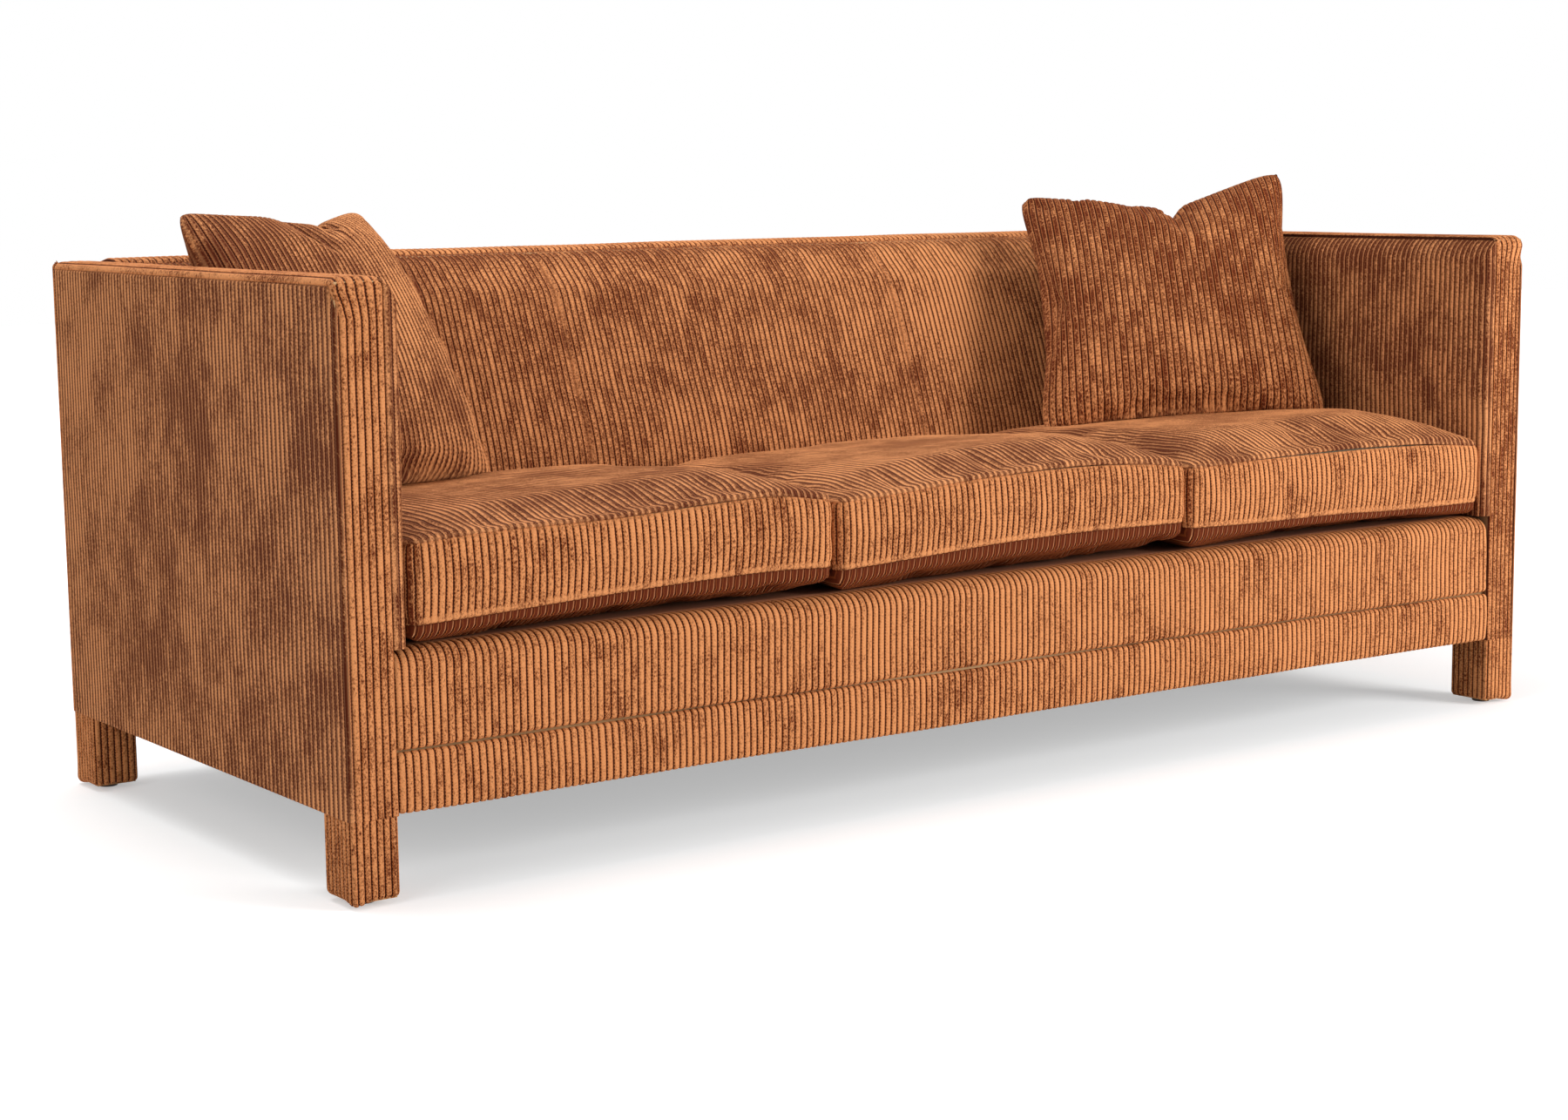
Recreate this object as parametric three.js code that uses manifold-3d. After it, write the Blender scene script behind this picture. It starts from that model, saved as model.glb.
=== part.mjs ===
// A three-seat tuxedo sofa in wide-ribbed fabric: arms as high as the back, four fabric-wrapped legs,
// three loose box cushions and two throw pillows.
// Millimetres. X runs along the sofa, the front faces -Y and Z is up.
// The origin is on the floor, under the middle of the sofa.
import * as THREE from "three";
import { mergeVertices } from "three/addons/utils/BufferGeometryUtils.js";
import Module from "manifold-3d";

// Overall sizes
const SOFA_WIDTH = 2337;
const SOFA_DEPTH = 990;
const ARM_HEIGHT = 842;

// Clearances: between pieces that touch, between a soft piece and its seat, and past the end of a cut
const GAP = 0.3;
const SOFT_GAP = 0.6;
const OVERRUN = 10;

// Legs, with the glide nailed under each
const LEG_WIDTH = 74;
const LEG_DEPTH = 87;
const LEG_HEIGHT = 120.5;
const GLIDE_HEIGHT = 3;
const GLIDE_RADIUS = 16;
const GLIDE_EDGE = 1;
const NAIL_RADIUS = 2.5;
const NAIL_LENGTH = 24;

// Fabric with its thin wadding, and the rounding of the outer edges that it wraps
const COVER = 5;
const EDGE_ROUND = 9;

// Wooden frame
const RAIL_THICKNESS = 28;
const RAIL_CLEARANCE = 5.5;
const SEAT_RAIL_TOP = 310;
const ARM_RAIL_THICKNESS = 30;
const REAR_BASE_RAIL_HEIGHT = 90;
const STRETCHER_WIDTH = 25;
const STRETCHER_HEIGHT = 70;
const SLAT_WIDTH = 60;
const SLAT_THICKNESS = 24;
const CORNER_BLOCK_LEG = 60;
const CORNER_BLOCK_HEIGHT = 70;
const DUST_COVER_THICKNESS = 2;

// Padded front below the cushions
const FRONT_INSET = 2;
const BAND_THICKNESS = 12;
const BAND_HEIGHT = 86;
const BAND_ROUND = 4;
const ROLL_TOP = 345;
const ROLL_ROUND = 28;

// Seat deck and its springs
const DECK_CLOTH = 3;
const DECK_PAD = 18;
const SPRING_WIRE = 4;
const SPRING_SWING = 48;
const SPRING_WAVES = 7;
const SPRINGS_PER_SEAT = 3;
const TIE_SHARES = [0.33, 0.67];

// Inside arm and inside back padding
const ARM_PAD = 23;
const ARM_PAD_ROLL = 50;
const ARM_PAD_LIP = 3;
const ARM_PAD_FRONT_ROUND = 14;
const SEAT_LINE = 485;
const BACK_DEPTH = 299;
const BACK_CROWN = 4;
const BACK_ROLL_DEPTH = 93;
const BACK_ROLL_HEIGHT = 68;
const TOP_STRIP_DEPTH = 90;
const SLAT_FOOT_SETBACK = 3.3;
const TOP_RAIL_SETBACK = 16.2;

// Seat cushions: three alike, loose on the deck
const SEATS = 3;
const CUSHION_SIDE_GAP = 1.2;
const CUSHION_BACK_GAP = 6;
const BOXING_BOTTOM = 380;
const BOXING_HEIGHT = 97;
const CUSHION_CROWN = 61;
const CUSHION_CORNER = 46;
const CUSHION_DRAW = 5;
const CORNER_DROOP = 9;
const BOXING_BULGE = 3;
const CUSHION_WALL = 4;

// Zips: the slot in a cover, and the slider with its pull
const ZIP_LENGTH = 440;
const ZIP_SLOT = 3;
const ZIP_TRAVEL = 400;
const SLIDER_LENGTH = 11;
const SLIDER_HEIGHT = 9;
const SLIDER_PLATE = 1.6;
const SLIDER_REACH = 2.5;
const PULL_LENGTH = 22;
const PULL_WIDTH = 5;
const PULL_PLATE = 1.2;

// Throw pillows
const PILLOW_SIZE = 490;
const PILLOW_HALF_THICKNESS = 76;
const PILLOW_WALL = 4;
const CAVITY_EDGE = 40;
const PILLOW_ZIP_LENGTH = 220;
const PILLOW_ZIP_TRAVEL = 160;
const PILLOW_ZIP_SHARE = 0.16;

// Where each pillow's corners lie, as shares of its size: from the arm's inner face towards the
// middle, forwards from the inside back at the corner's height, and above the seat line
const LEFT_PILLOW_SHARES = {
  lowOuter: [0.016, 0.558, 0.051],
  lowInner: [0.931, 0.208, 0.041],
  highInner: [0.759, 0.119, 0.863],
  highOuter: [0.012, 0.362, 0.873],
};
const RIGHT_PILLOW_SHARES = {
  lowOuter: [0.259, 0.799, 0.071],
  lowInner: [1.135, 0.309, 0.037],
  highInner: [0.8, 0.209, 0.841],
  highOuter: [0.035, 0.821, 0.939],
};

// Facets
const ROUND_STEPS = 2;
const GLIDE_STEPS = 16;
const CUSHION_STEPS = 36;
const CORE_STEPS = 20;
const PILLOW_STEPS = 16;
const FILLING_STEPS = 8;
const SPRING_STEPS_PER_WAVE = 4;

// Derived lines that several pieces share
const halfWidth = SOFA_WIDTH / 2;
const halfDepth = SOFA_DEPTH / 2;
const armInner = halfWidth - LEG_WIDTH;
const seatHalfWidth = armInner - ARM_PAD;
const coverInside = COVER + GAP;
const postTop = ARM_HEIGHT - coverInside - ARM_RAIL_THICKNESS - GAP;
const railBottom = LEG_HEIGHT + RAIL_CLEARANCE;
const frontFace = -halfDepth + FRONT_INSET;
const frontRailFace = frontFace + BAND_THICKNESS + GAP;
const frontRailBack = frontRailFace + RAIL_THICKNESS;
const bandTop = LEG_HEIGHT + BAND_HEIGHT;
const backFace = halfDepth - BACK_DEPTH;
const topStripFront = halfDepth - TOP_STRIP_DEPTH;
const deckTop = ROLL_TOP;
const bellyBottom = deckTop + SOFT_GAP;
const boxingTop = BOXING_BOTTOM + BOXING_HEIGHT;

// The inside back's profile above the seat line: a lean, then a roll over into the top seam. Each
// point says how far it has fallen back and how high it stands.
const BACK_LEAN_SHARES = [[0.18, 0.239], [0.422, 0.484], [0.656, 0.717], [0.879, 0.912], [1, 1]];
const BACK_ROLL_SHARES = [[0.236, 0.326], [0.58, 0.735], [1, 1]];
const leanDepth = topStripFront - backFace - BACK_ROLL_DEPTH;
const leanHeight = ARM_HEIGHT + BACK_CROWN - SEAT_LINE - BACK_ROLL_HEIGHT;
const backProfile = [
  [0, 0],
  ...BACK_LEAN_SHARES.map(([fall, rise]) => [fall * leanDepth, rise * leanHeight]),
  ...BACK_ROLL_SHARES.map(([fall, rise]) => [
    leanDepth + fall * BACK_ROLL_DEPTH,
    leanHeight + rise * BACK_ROLL_HEIGHT,
  ]),
];

// Where the inside back's face lies at a height
function backAt(z) {
  const height = Math.max(z - SEAT_LINE, 0);
  const next = backProfile.findIndex(([, rise]) => rise > height);
  if (next < 0) return topStripFront;
  const [lowFall, lowRise] = backProfile[next - 1];
  const [highFall, highRise] = backProfile[next];
  const way = (height - lowRise) / (highRise - lowRise);
  return backFace + lowFall + (highFall - lowFall) * way;
}

// The line of the slats' fronts behind the pad, from their feet up to the top rail
const slatFoot = backFace + SLAT_FOOT_SETBACK;
const slatHead = topStripFront - TOP_RAIL_SETBACK;
const slatBottom = SEAT_RAIL_TOP + GAP;
const slatSlope = (slatHead - slatFoot) / (postTop - slatBottom);
const slatFront = (z) => slatFoot + (z - slatBottom) * slatSlope;

const fabric = new THREE.MeshStandardMaterial({ color: 0xaf6437, roughness: 0.9, metalness: 0 });
const wood = new THREE.MeshStandardMaterial({ color: 0xb98f5f, roughness: 0.7, metalness: 0 });
const hardboard = new THREE.MeshStandardMaterial({ color: 0x7a5636, roughness: 0.8, metalness: 0 });
const foam = new THREE.MeshStandardMaterial({ color: 0xe6dcc0, roughness: 1, metalness: 0 });
const feather = new THREE.MeshStandardMaterial({ color: 0xf1eee6, roughness: 1, metalness: 0 });
const cambric = new THREE.MeshStandardMaterial({ color: 0x1c1b1a, roughness: 1, metalness: 0 });
const steel = new THREE.MeshStandardMaterial({ color: 0x8a8d90, roughness: 0.4, metalness: 1 });
const nylon = new THREE.MeshStandardMaterial({ color: 0x3a2c22, roughness: 0.5, metalness: 0 });
const brass = new THREE.MeshStandardMaterial({ color: 0x8a6a3a, roughness: 0.4, metalness: 1 });

const sofa = new THREE.Group();
const wasm = await Module();
wasm.setup();

function add(name, geometry, material) {
  const mesh = new THREE.Mesh(geometry, material);
  mesh.name = name;
  sofa.add(mesh);
  return mesh;
}

// Joining and cutting
function solid(geometry) {
  const bare = geometry.clone();
  bare.deleteAttribute("normal");
  bare.deleteAttribute("uv");
  const merged = mergeVertices(bare);
  return new wasm.Manifold(
    new wasm.Mesh({
      numProp: 3,
      vertProperties: merged.attributes.position.array,
      triVerts: new Uint32Array(merged.index.array),
    }),
  );
}

function surface(body) {
  const mesh = body.getMesh();
  const geometry = new THREE.BufferGeometry();
  geometry.setAttribute("position", new THREE.BufferAttribute(mesh.vertProperties, 3));
  geometry.setIndex(new THREE.BufferAttribute(mesh.triVerts, 1));
  geometry.computeVertexNormals();
  return geometry;
}

const join = (first, ...others) =>
  surface(others.reduce((body, other) => body.add(solid(other)), solid(first)));
const cut = (first, ...others) =>
  surface(others.reduce((body, other) => body.subtract(solid(other)), solid(first)));
const common = (first, ...others) =>
  surface(others.reduce((body, other) => body.intersect(solid(other)), solid(first)));

// A block between two limits on each axis
function block([x0, x1], [y0, y1], [z0, z1]) {
  const geometry = new THREE.BoxGeometry(x1 - x0, y1 - y0, z1 - z0);
  return geometry.translate((x0 + x1) / 2, (y0 + y1) / 2, (z0 + z1) / 2);
}

// The limits of a span on one side of the sofa's middle, lowest first
const span = (side, near, far) => (side > 0 ? [near, far] : [-far, -near]);

// A rectangle whose four corners may be rounded: low-low, high-low, high-high, low-high
function rectangle([a0, a1], [b0, b1], [lowLow, highLow, highHigh, lowHigh]) {
  const shape = new THREE.Shape();
  const quarter = Math.PI / 2;
  shape.moveTo(a0 + lowLow, b0);
  shape.lineTo(a1 - highLow, b0);
  if (highLow) shape.absarc(a1 - highLow, b0 + highLow, highLow, -quarter, 0, false);
  shape.lineTo(a1, b1 - highHigh);
  if (highHigh) shape.absarc(a1 - highHigh, b1 - highHigh, highHigh, 0, quarter, false);
  shape.lineTo(a0 + lowHigh, b1);
  if (lowHigh) shape.absarc(a0 + lowHigh, b1 - lowHigh, lowHigh, quarter, 2 * quarter, false);
  shape.lineTo(a0, b0 + lowLow);
  if (lowLow) shape.absarc(a0 + lowLow, b0 + lowLow, lowLow, 2 * quarter, 3 * quarter, false);
  return shape;
}

const outline = (points) => new THREE.Shape(points.map(([a, b]) => new THREE.Vector2(a, b)));

const prism = (shape, length) =>
  new THREE.ExtrudeGeometry(shape, { depth: length, bevelEnabled: false, curveSegments: ROUND_STEPS });

// A profile drawn in Y and Z, carried along X
function alongX(shape, [x0, x1]) {
  const turn = new THREE.Matrix4().makeBasis(
    new THREE.Vector3(0, 1, 0),
    new THREE.Vector3(0, 0, 1),
    new THREE.Vector3(1, 0, 0),
  );
  return prism(shape, x1 - x0).applyMatrix4(turn).translate(x0, 0, 0);
}

// A profile drawn in X and Z, carried along Y
function alongY(shape, [y0, y1]) {
  const turn = new THREE.Matrix4().makeBasis(
    new THREE.Vector3(1, 0, 0),
    new THREE.Vector3(0, 0, 1),
    new THREE.Vector3(0, -1, 0),
  );
  return prism(shape, y1 - y0).applyMatrix4(turn).translate(0, y1, 0);
}

// A profile drawn in X and Y, carried along Z
const alongZ = (shape, [z0, z1]) => prism(shape, z1 - z0).translate(0, 0, z0);

// A closed skin over rings of points, each ring as long as the next, with a pole at each end
function skin(rings, firstPole, lastPole) {
  const count = rings[0].length;
  const points = [firstPole, ...rings.flat(), lastPole];
  const last = points.length - 1;
  const at = (ring, i) => 1 + ring * count + (i % count);
  const index = [];
  for (let i = 0; i < count; i += 1) {
    index.push(0, at(0, i + 1), at(0, i));
    index.push(last, at(rings.length - 1, i), at(rings.length - 1, i + 1));
    for (let ring = 0; ring + 1 < rings.length; ring += 1) {
      index.push(at(ring, i), at(ring, i + 1), at(ring + 1, i));
      index.push(at(ring, i + 1), at(ring + 1, i + 1), at(ring + 1, i));
    }
  }
  const geometry = new THREE.BufferGeometry();
  geometry.setAttribute("position", new THREE.Float32BufferAttribute(points.flat(), 3));
  geometry.setIndex(index);
  geometry.computeVertexNormals();
  return geometry;
}

const sides = [["left", -1], ["right", 1]];
const ends = [["front", -1], ["rear", 1]];

// Legs: a post in a fabric sock, with a glide nailed under it
const postX = [armInner + coverInside, halfWidth - coverInside];
const postY = [halfDepth - LEG_DEPTH + coverInside, halfDepth - coverInside];

function nailHole(x, y) {
  const hole = new THREE.CylinderGeometry(
    NAIL_RADIUS + GAP, NAIL_RADIUS + GAP, NAIL_LENGTH + OVERRUN, GLIDE_STEPS / 2,
  );
  return hole.rotateX(Math.PI / 2).translate(x, y, (NAIL_LENGTH + OVERRUN) / 2);
}

function glide(x, y) {
  const profile = [
    [0, 0],
    [GLIDE_RADIUS - GLIDE_EDGE, 0],
    [GLIDE_RADIUS, GLIDE_EDGE],
    [GLIDE_RADIUS, GLIDE_HEIGHT],
    [NAIL_RADIUS, GLIDE_HEIGHT],
    [NAIL_RADIUS, NAIL_LENGTH - 2 * NAIL_RADIUS],
    [0, NAIL_LENGTH],
  ].map(([r, z]) => new THREE.Vector2(r, z));
  return new THREE.LatheGeometry(profile, GLIDE_STEPS).rotateX(Math.PI / 2).translate(x, y, 0);
}

for (const [endName, end] of ends) {
  for (const [sideName, side] of sides) {
    const x = span(side, ...postX);
    const y = span(end, ...postY);
    const midX = (x[0] + x[1]) / 2;
    const midY = (y[0] + y[1]) / 2;
    const footX = span(side, armInner, halfWidth);
    const footY = span(end, halfDepth - LEG_DEPTH, halfDepth);
    const round = [EDGE_ROUND, EDGE_ROUND, EDGE_ROUND, EDGE_ROUND];
    const coverBottom = GLIDE_HEIGHT + GAP;
    const post = block(x, y, [coverBottom + coverInside, postTop]);
    const sock = alongZ(rectangle(footX, footY, round), [coverBottom, LEG_HEIGHT - GAP]);
    const hollow = block(
      [x[0] - GAP, x[1] + GAP],
      [y[0] - GAP, y[1] + GAP],
      [coverBottom + COVER, LEG_HEIGHT + OVERRUN],
    );
    add(`leg_post_${endName}_${sideName}`, cut(post, nailHole(midX, midY)), wood);
    add(`leg_cover_${endName}_${sideName}`, cut(sock, hollow, nailHole(midX, midY)), fabric);
    add(`glide_${endName}_${sideName}`, glide(midX, midY), nylon);
  }
}

// Frame: rails between the posts, rails along the tops of the arms and the back
const boardX = [armInner + GAP, armInner + COVER];
const armRailZ = [postTop + GAP, ARM_HEIGHT - coverInside];
const frameX = [-armInner, armInner];
const insideY = [-halfDepth + coverInside, halfDepth - coverInside];
const rearRailY = [slatFoot - GAP, slatFoot + RAIL_THICKNESS];
const stretcherTop = railBottom + STRETCHER_HEIGHT;

for (const [sideName, side] of sides) {
  const railX = span(side, halfWidth - coverInside - RAIL_THICKNESS, halfWidth - coverInside);
  const railY = [-postY[0] + GAP, postY[0] - GAP];
  add(`side_seat_rail_${sideName}`, block(railX, railY, [railBottom, SEAT_RAIL_TOP]), wood);
  add(`arm_top_rail_${sideName}`, block(span(side, boardX[0], postX[1]), insideY, armRailZ), wood);
  add(`inner_arm_board_${sideName}`, block(span(side, ...boardX), insideY, [railBottom, postTop]), hardboard);
}
const frontRailY = [frontRailFace, frontRailBack];
const rearBaseY = [insideY[1] - RAIL_THICKNESS, insideY[1]];
const rearBaseZ = [railBottom, railBottom + REAR_BASE_RAIL_HEIGHT];
const topRailY = [slatHead + GAP, insideY[1]];
add("front_seat_rail", block(frameX, frontRailY, [railBottom, SEAT_RAIL_TOP]), wood);
add("rear_seat_rail", block(frameX, rearRailY, [stretcherTop + GAP, SEAT_RAIL_TOP]), wood);
add("rear_base_rail", block(frameX, rearBaseY, rearBaseZ), wood);
add("back_top_rail", block(frameX, topRailY, armRailZ), wood);

const seatPitch = (2 * seatHalfWidth) / SEATS;
for (const [sideName, side] of sides) {
  const boundary = side * seatPitch / 2;
  const stretcherX = [boundary - STRETCHER_WIDTH / 2, boundary + STRETCHER_WIDTH / 2];
  const stretcherY = [frontRailBack + GAP, rearBaseY[0] - GAP];
  add(`seat_stretcher_${sideName}`, block(stretcherX, stretcherY, [railBottom, stretcherTop]), wood);

  const slatX = [boundary - SLAT_WIDTH / 2, boundary + SLAT_WIDTH / 2];
  const slatProfile = outline([
    [slatFoot, slatBottom],
    [slatFoot + SLAT_THICKNESS, slatBottom],
    [slatHead + SLAT_THICKNESS, postTop],
    [slatHead, postTop],
  ]);
  add(`back_slat_${sideName}`, alongX(slatProfile, slatX), wood);

  // A glue block in each corner of the seat frame, between a long rail and the arm board
  for (const [endName, end] of ends) {
    const corner = side * (armInner - GAP);
    const railFace = end < 0 ? frontRailBack + GAP : rearBaseY[0] - GAP;
    const blockPoints = [
      [corner, railFace],
      [corner, railFace - end * CORNER_BLOCK_LEG],
      [corner - side * CORNER_BLOCK_LEG, railFace],
    ];
    const wedge = outline(side * end > 0 ? blockPoints : blockPoints.reverse());
    const blockZ = [railBottom, railBottom + CORNER_BLOCK_HEIGHT];
    add(`corner_block_${endName}_${sideName}`, alongZ(wedge, blockZ), wood);
  }
}

// The dust cover under the frame, notched round the four posts
const dustTop = railBottom - GAP;
const dustSheet = block(
  [-halfWidth + coverInside, halfWidth - coverInside],
  [frontRailFace, insideY[1]],
  [dustTop - DUST_COVER_THICKNESS, dustTop],
);
const dustNotches = sides.flatMap(([, side]) =>
  ends.map(([, end]) => block(
    span(side, postX[0] - GAP, halfWidth + OVERRUN),
    span(end, postY[0] - GAP, halfDepth + OVERRUN),
    [0, railBottom],
  )));
add("dust_cover", cut(dustSheet, ...dustNotches), cambric);

// The fabric casing: one shell over the arms and the outside back, cut along its seams
function casing(inset, bottom, r) {
  const x = [-halfWidth + inset, halfWidth - inset];
  const y = [-halfDepth + inset, halfDepth - inset];
  const z = [bottom, ARM_HEIGHT - inset];
  return common(
    alongZ(rectangle(x, y, [r, r, r, r]), z),
    alongY(rectangle(x, z, [0, 0, r, r]), y),
    alongX(rectangle(y, z, [0, 0, r, r]), x),
  );
}
const shell = cut(casing(0, LEG_HEIGHT, EDGE_ROUND), casing(COVER, LEG_HEIGHT - OVERRUN, 0));
const seamY = halfDepth - EDGE_ROUND;
const seamZ = ARM_HEIGHT - EDGE_ROUND;
const wholeZ = [LEG_HEIGHT - OVERRUN, ARM_HEIGHT + OVERRUN];

for (const [sideName, side] of sides) {
  const seamX = halfWidth - EDGE_ROUND;
  const panel = block(
    span(side, seamX, halfWidth + OVERRUN),
    [-seamY, seamY - GAP],
    [wholeZ[0], seamZ - GAP],
  );
  const panelRoom = block(
    span(side, seamX - GAP, halfWidth + OVERRUN),
    [-seamY - GAP, seamY],
    [wholeZ[0], seamZ],
  );
  const armRoom = block(
    span(side, armInner, halfWidth + OVERRUN),
    [-halfDepth - OVERRUN, seamY - GAP],
    wholeZ,
  );
  add(`outside_arm_cover_${sideName}`, common(shell, panel), fabric);
  add(`arm_facing_${sideName}`, cut(common(shell, armRoom), panelRoom), fabric);
}
const rearRoom = block(
  [-halfWidth - OVERRUN, halfWidth + OVERRUN], [seamY, halfDepth + OVERRUN], wholeZ,
);
add("outside_back_cover", common(shell, rearRoom), fabric);

// The back's top strip, a little proud of the arms at its front seam
const softX = [-armInner + GAP, armInner - GAP];
const topStripProfile = outline([
  [topStripFront, ARM_HEIGHT - COVER],
  [seamY - GAP, ARM_HEIGHT - COVER],
  [seamY - GAP, ARM_HEIGHT],
  [topStripFront + TOP_STRIP_DEPTH / 2, ARM_HEIGHT + BACK_CROWN],
  [topStripFront, ARM_HEIGHT + BACK_CROWN],
]);
add("back_top_strip", alongX(topStripProfile, softX), fabric);

// The inside back: upright below the seat line, then leaning back and rolling over into its top seam.
// With a clearance it is the room that the arm pads leave for it.
function backPad(x, clearance) {
  const back = topRailY[0] - GAP;
  const padBottom = deckTop + GAP;
  const kneeZ = postTop + GAP / slatSlope;
  const front = backProfile.map(([fall, rise]) => [
    Math.min(backFace + fall, topStripFront - GAP) - clearance,
    SEAT_LINE + rise,
  ]);
  return alongX(outline([
    [backFace - clearance, padBottom - clearance],
    [slatFront(padBottom) - GAP, padBottom - clearance],
    [back, kneeZ],
    [back, ARM_HEIGHT - COVER],
    [topStripFront - GAP, ARM_HEIGHT - COVER],
    ...front.reverse(),
  ]), x);
}
add("inside_back_pad", backPad(softX, 0), fabric);

// The inside arms: a flat pad that rolls over into the top, rounded at its front end
for (const [sideName, side] of sides) {
  const at = (depth) => side * (armInner - GAP - depth);
  const rollPoint = (share) => [
    at(ARM_PAD_LIP + (ARM_PAD - GAP - ARM_PAD_LIP) * Math.cos(share * Math.PI / 2)),
    ARM_HEIGHT - COVER - ARM_PAD_ROLL * (1 - Math.sin(share * Math.PI / 2)),
  ];
  const section = [
    [at(0), deckTop + GAP],
    [at(0), ARM_HEIGHT - COVER],
    rollPoint(1),
    rollPoint(2 / 3),
    rollPoint(1 / 3),
    rollPoint(0),
    [at(ARM_PAD - GAP), deckTop + GAP],
  ];
  const padY = [frontFace, topRailY[0] - OVERRUN];
  const plan = rectangle(
    span(side, armInner - ARM_PAD, armInner - GAP),
    padY,
    side > 0 ? [ARM_PAD_FRONT_ROUND, 0, 0, 0] : [0, ARM_PAD_FRONT_ROUND, 0, 0],
  );
  const pad = common(
    alongY(outline(side > 0 ? section.reverse() : section), padY),
    alongZ(plan, [deckTop, ARM_HEIGHT]),
  );
  const backRoom = backPad(span(side, seatHalfWidth - OVERRUN, armInner + OVERRUN), GAP);
  const behindSlat = alongX(outline([
    [slatFoot, SEAT_RAIL_TOP],
    [halfDepth, SEAT_RAIL_TOP],
    [halfDepth, ARM_HEIGHT],
    [slatHead, ARM_HEIGHT],
  ]), span(side, seatHalfWidth - OVERRUN, armInner + OVERRUN));
  add(`inside_arm_pad_${sideName}`, cut(pad, backRoom, behindSlat), fabric);
}

// The deck's two layers, and the springs' crown up to them
const deckY = [frontRailBack + GAP, backFace - GAP];
const deckClothZ = [deckTop - DECK_CLOTH, deckTop];
const deckPadZ = [deckClothZ[0] - GAP - DECK_PAD, deckClothZ[0] - GAP];
const springFoot = SEAT_RAIL_TOP + GAP;
const springRise = deckPadZ[0] - GAP - SPRING_WIRE - springFoot;
const springY = [
  (frontRailFace + frontRailBack) / 2,
  (rearRailY[0] + rearRailY[1]) / 2,
];
const springLift = (y) =>
  springRise * Math.sin((Math.PI * (y - springY[0])) / (springY[1] - springY[0]));

// The padded front: a lower band, and a roll that wraps over the seat rail and the springs' ends
const bandProfile = rectangle(
  [frontFace, frontFace + BAND_THICKNESS],
  [LEG_HEIGHT, bandTop],
  [BAND_ROUND, 0, 0, BAND_ROUND],
);
add("front_band", alongX(bandProfile, softX), fabric);

const rollFront = rectangle(
  [frontFace, frontRailBack],
  [bandTop + GAP, ROLL_TOP],
  [BAND_ROUND, 0, 0, ROLL_ROUND],
);
const railRoom = block(
  [-halfWidth, halfWidth],
  [frontRailFace - GAP, frontRailBack + OVERRUN],
  [railBottom, springFoot + SPRING_WIRE + springLift(frontRailBack) + GAP],
);
add("front_rail_roll", cut(alongX(rollFront, softX), railRoom), fabric);

add("deck_cloth", block(softX, deckY, deckClothZ), fabric);
add("deck_pad", block(softX, deckY, deckPadZ), foam);

// Zigzag springs from rail to rail, three under each seat, held together by two long tie wires
function springWire(middle) {
  const steps = SPRING_WAVES * SPRING_STEPS_PER_WAVE;
  const centre = (i) => {
    const y = springY[0] + ((springY[1] - springY[0]) * i) / steps;
    const swing = Math.sin((2 * Math.PI * SPRING_WAVES * i) / steps);
    return [
      middle + (SPRING_SWING / 2) * swing,
      y,
      springFoot + SPRING_WIRE / 2 + springLift(y),
    ];
  };
  // A square wire: each ring is upright and faces the way to the next point
  const rings = Array.from({ length: steps + 1 }, (_, i) => {
    const [x, y, z] = centre(i);
    const before = centre(Math.max(i - 1, 0));
    const after = centre(Math.min(i + 1, steps));
    const way = Math.hypot(after[0] - before[0], after[1] - before[1]);
    const acrossX = ((after[1] - before[1]) / way) * (SPRING_WIRE / 2);
    const acrossY = (-(after[0] - before[0]) / way) * (SPRING_WIRE / 2);
    const rise = SPRING_WIRE / 2;
    return [
      [x - acrossX, y - acrossY, z - rise],
      [x - acrossX, y - acrossY, z + rise],
      [x + acrossX, y + acrossY, z + rise],
      [x + acrossX, y + acrossY, z - rise],
    ];
  });
  return skin(rings, centre(0), centre(steps));
}

const springPitch = seatPitch / SPRINGS_PER_SEAT;
const springPlaces = Array.from(
  { length: SEATS * SPRINGS_PER_SEAT },
  (_, i) => (i - (SEATS * SPRINGS_PER_SEAT - 1) / 2) * springPitch,
);
const tieEnd = springPlaces[springPlaces.length - 1] + SPRING_SWING / 2;
const ties = TIE_SHARES.map((share) => {
  const tieY = springY[0] + (springY[1] - springY[0]) * share;
  const tieZ = springFoot + springLift(tieY);
  return block(
    [-tieEnd, tieEnd],
    [tieY - SPRING_WIRE / 2, tieY + SPRING_WIRE / 2],
    [tieZ, tieZ + SPRING_WIRE],
  );
});
add("seat_springs", join(...springPlaces.map(springWire), ...ties), steel);

// A seat cushion's form, inset all round by a wall: rings of a rounded rectangle whose sides are drawn
// in between the corners. The boxing stands between two seams. The top is crowned and the belly hangs,
// both as a product of two domes, one along X and one along Y, so that the corners stay low.
const cushionHalfX = seatPitch / 2 - CUSHION_SIDE_GAP;
const cushionY = [frontFace, backFace - CUSHION_BACK_GAP];
const cushionMidY = (cushionY[0] + cushionY[1]) / 2;
const RING_SHARES = [0.3, 0.55, 0.76, 0.92];
const SIDE_SHARE = 0.3;
const CROWN_POWER = 2.4;
const DROOP_POWER = 4;

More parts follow.
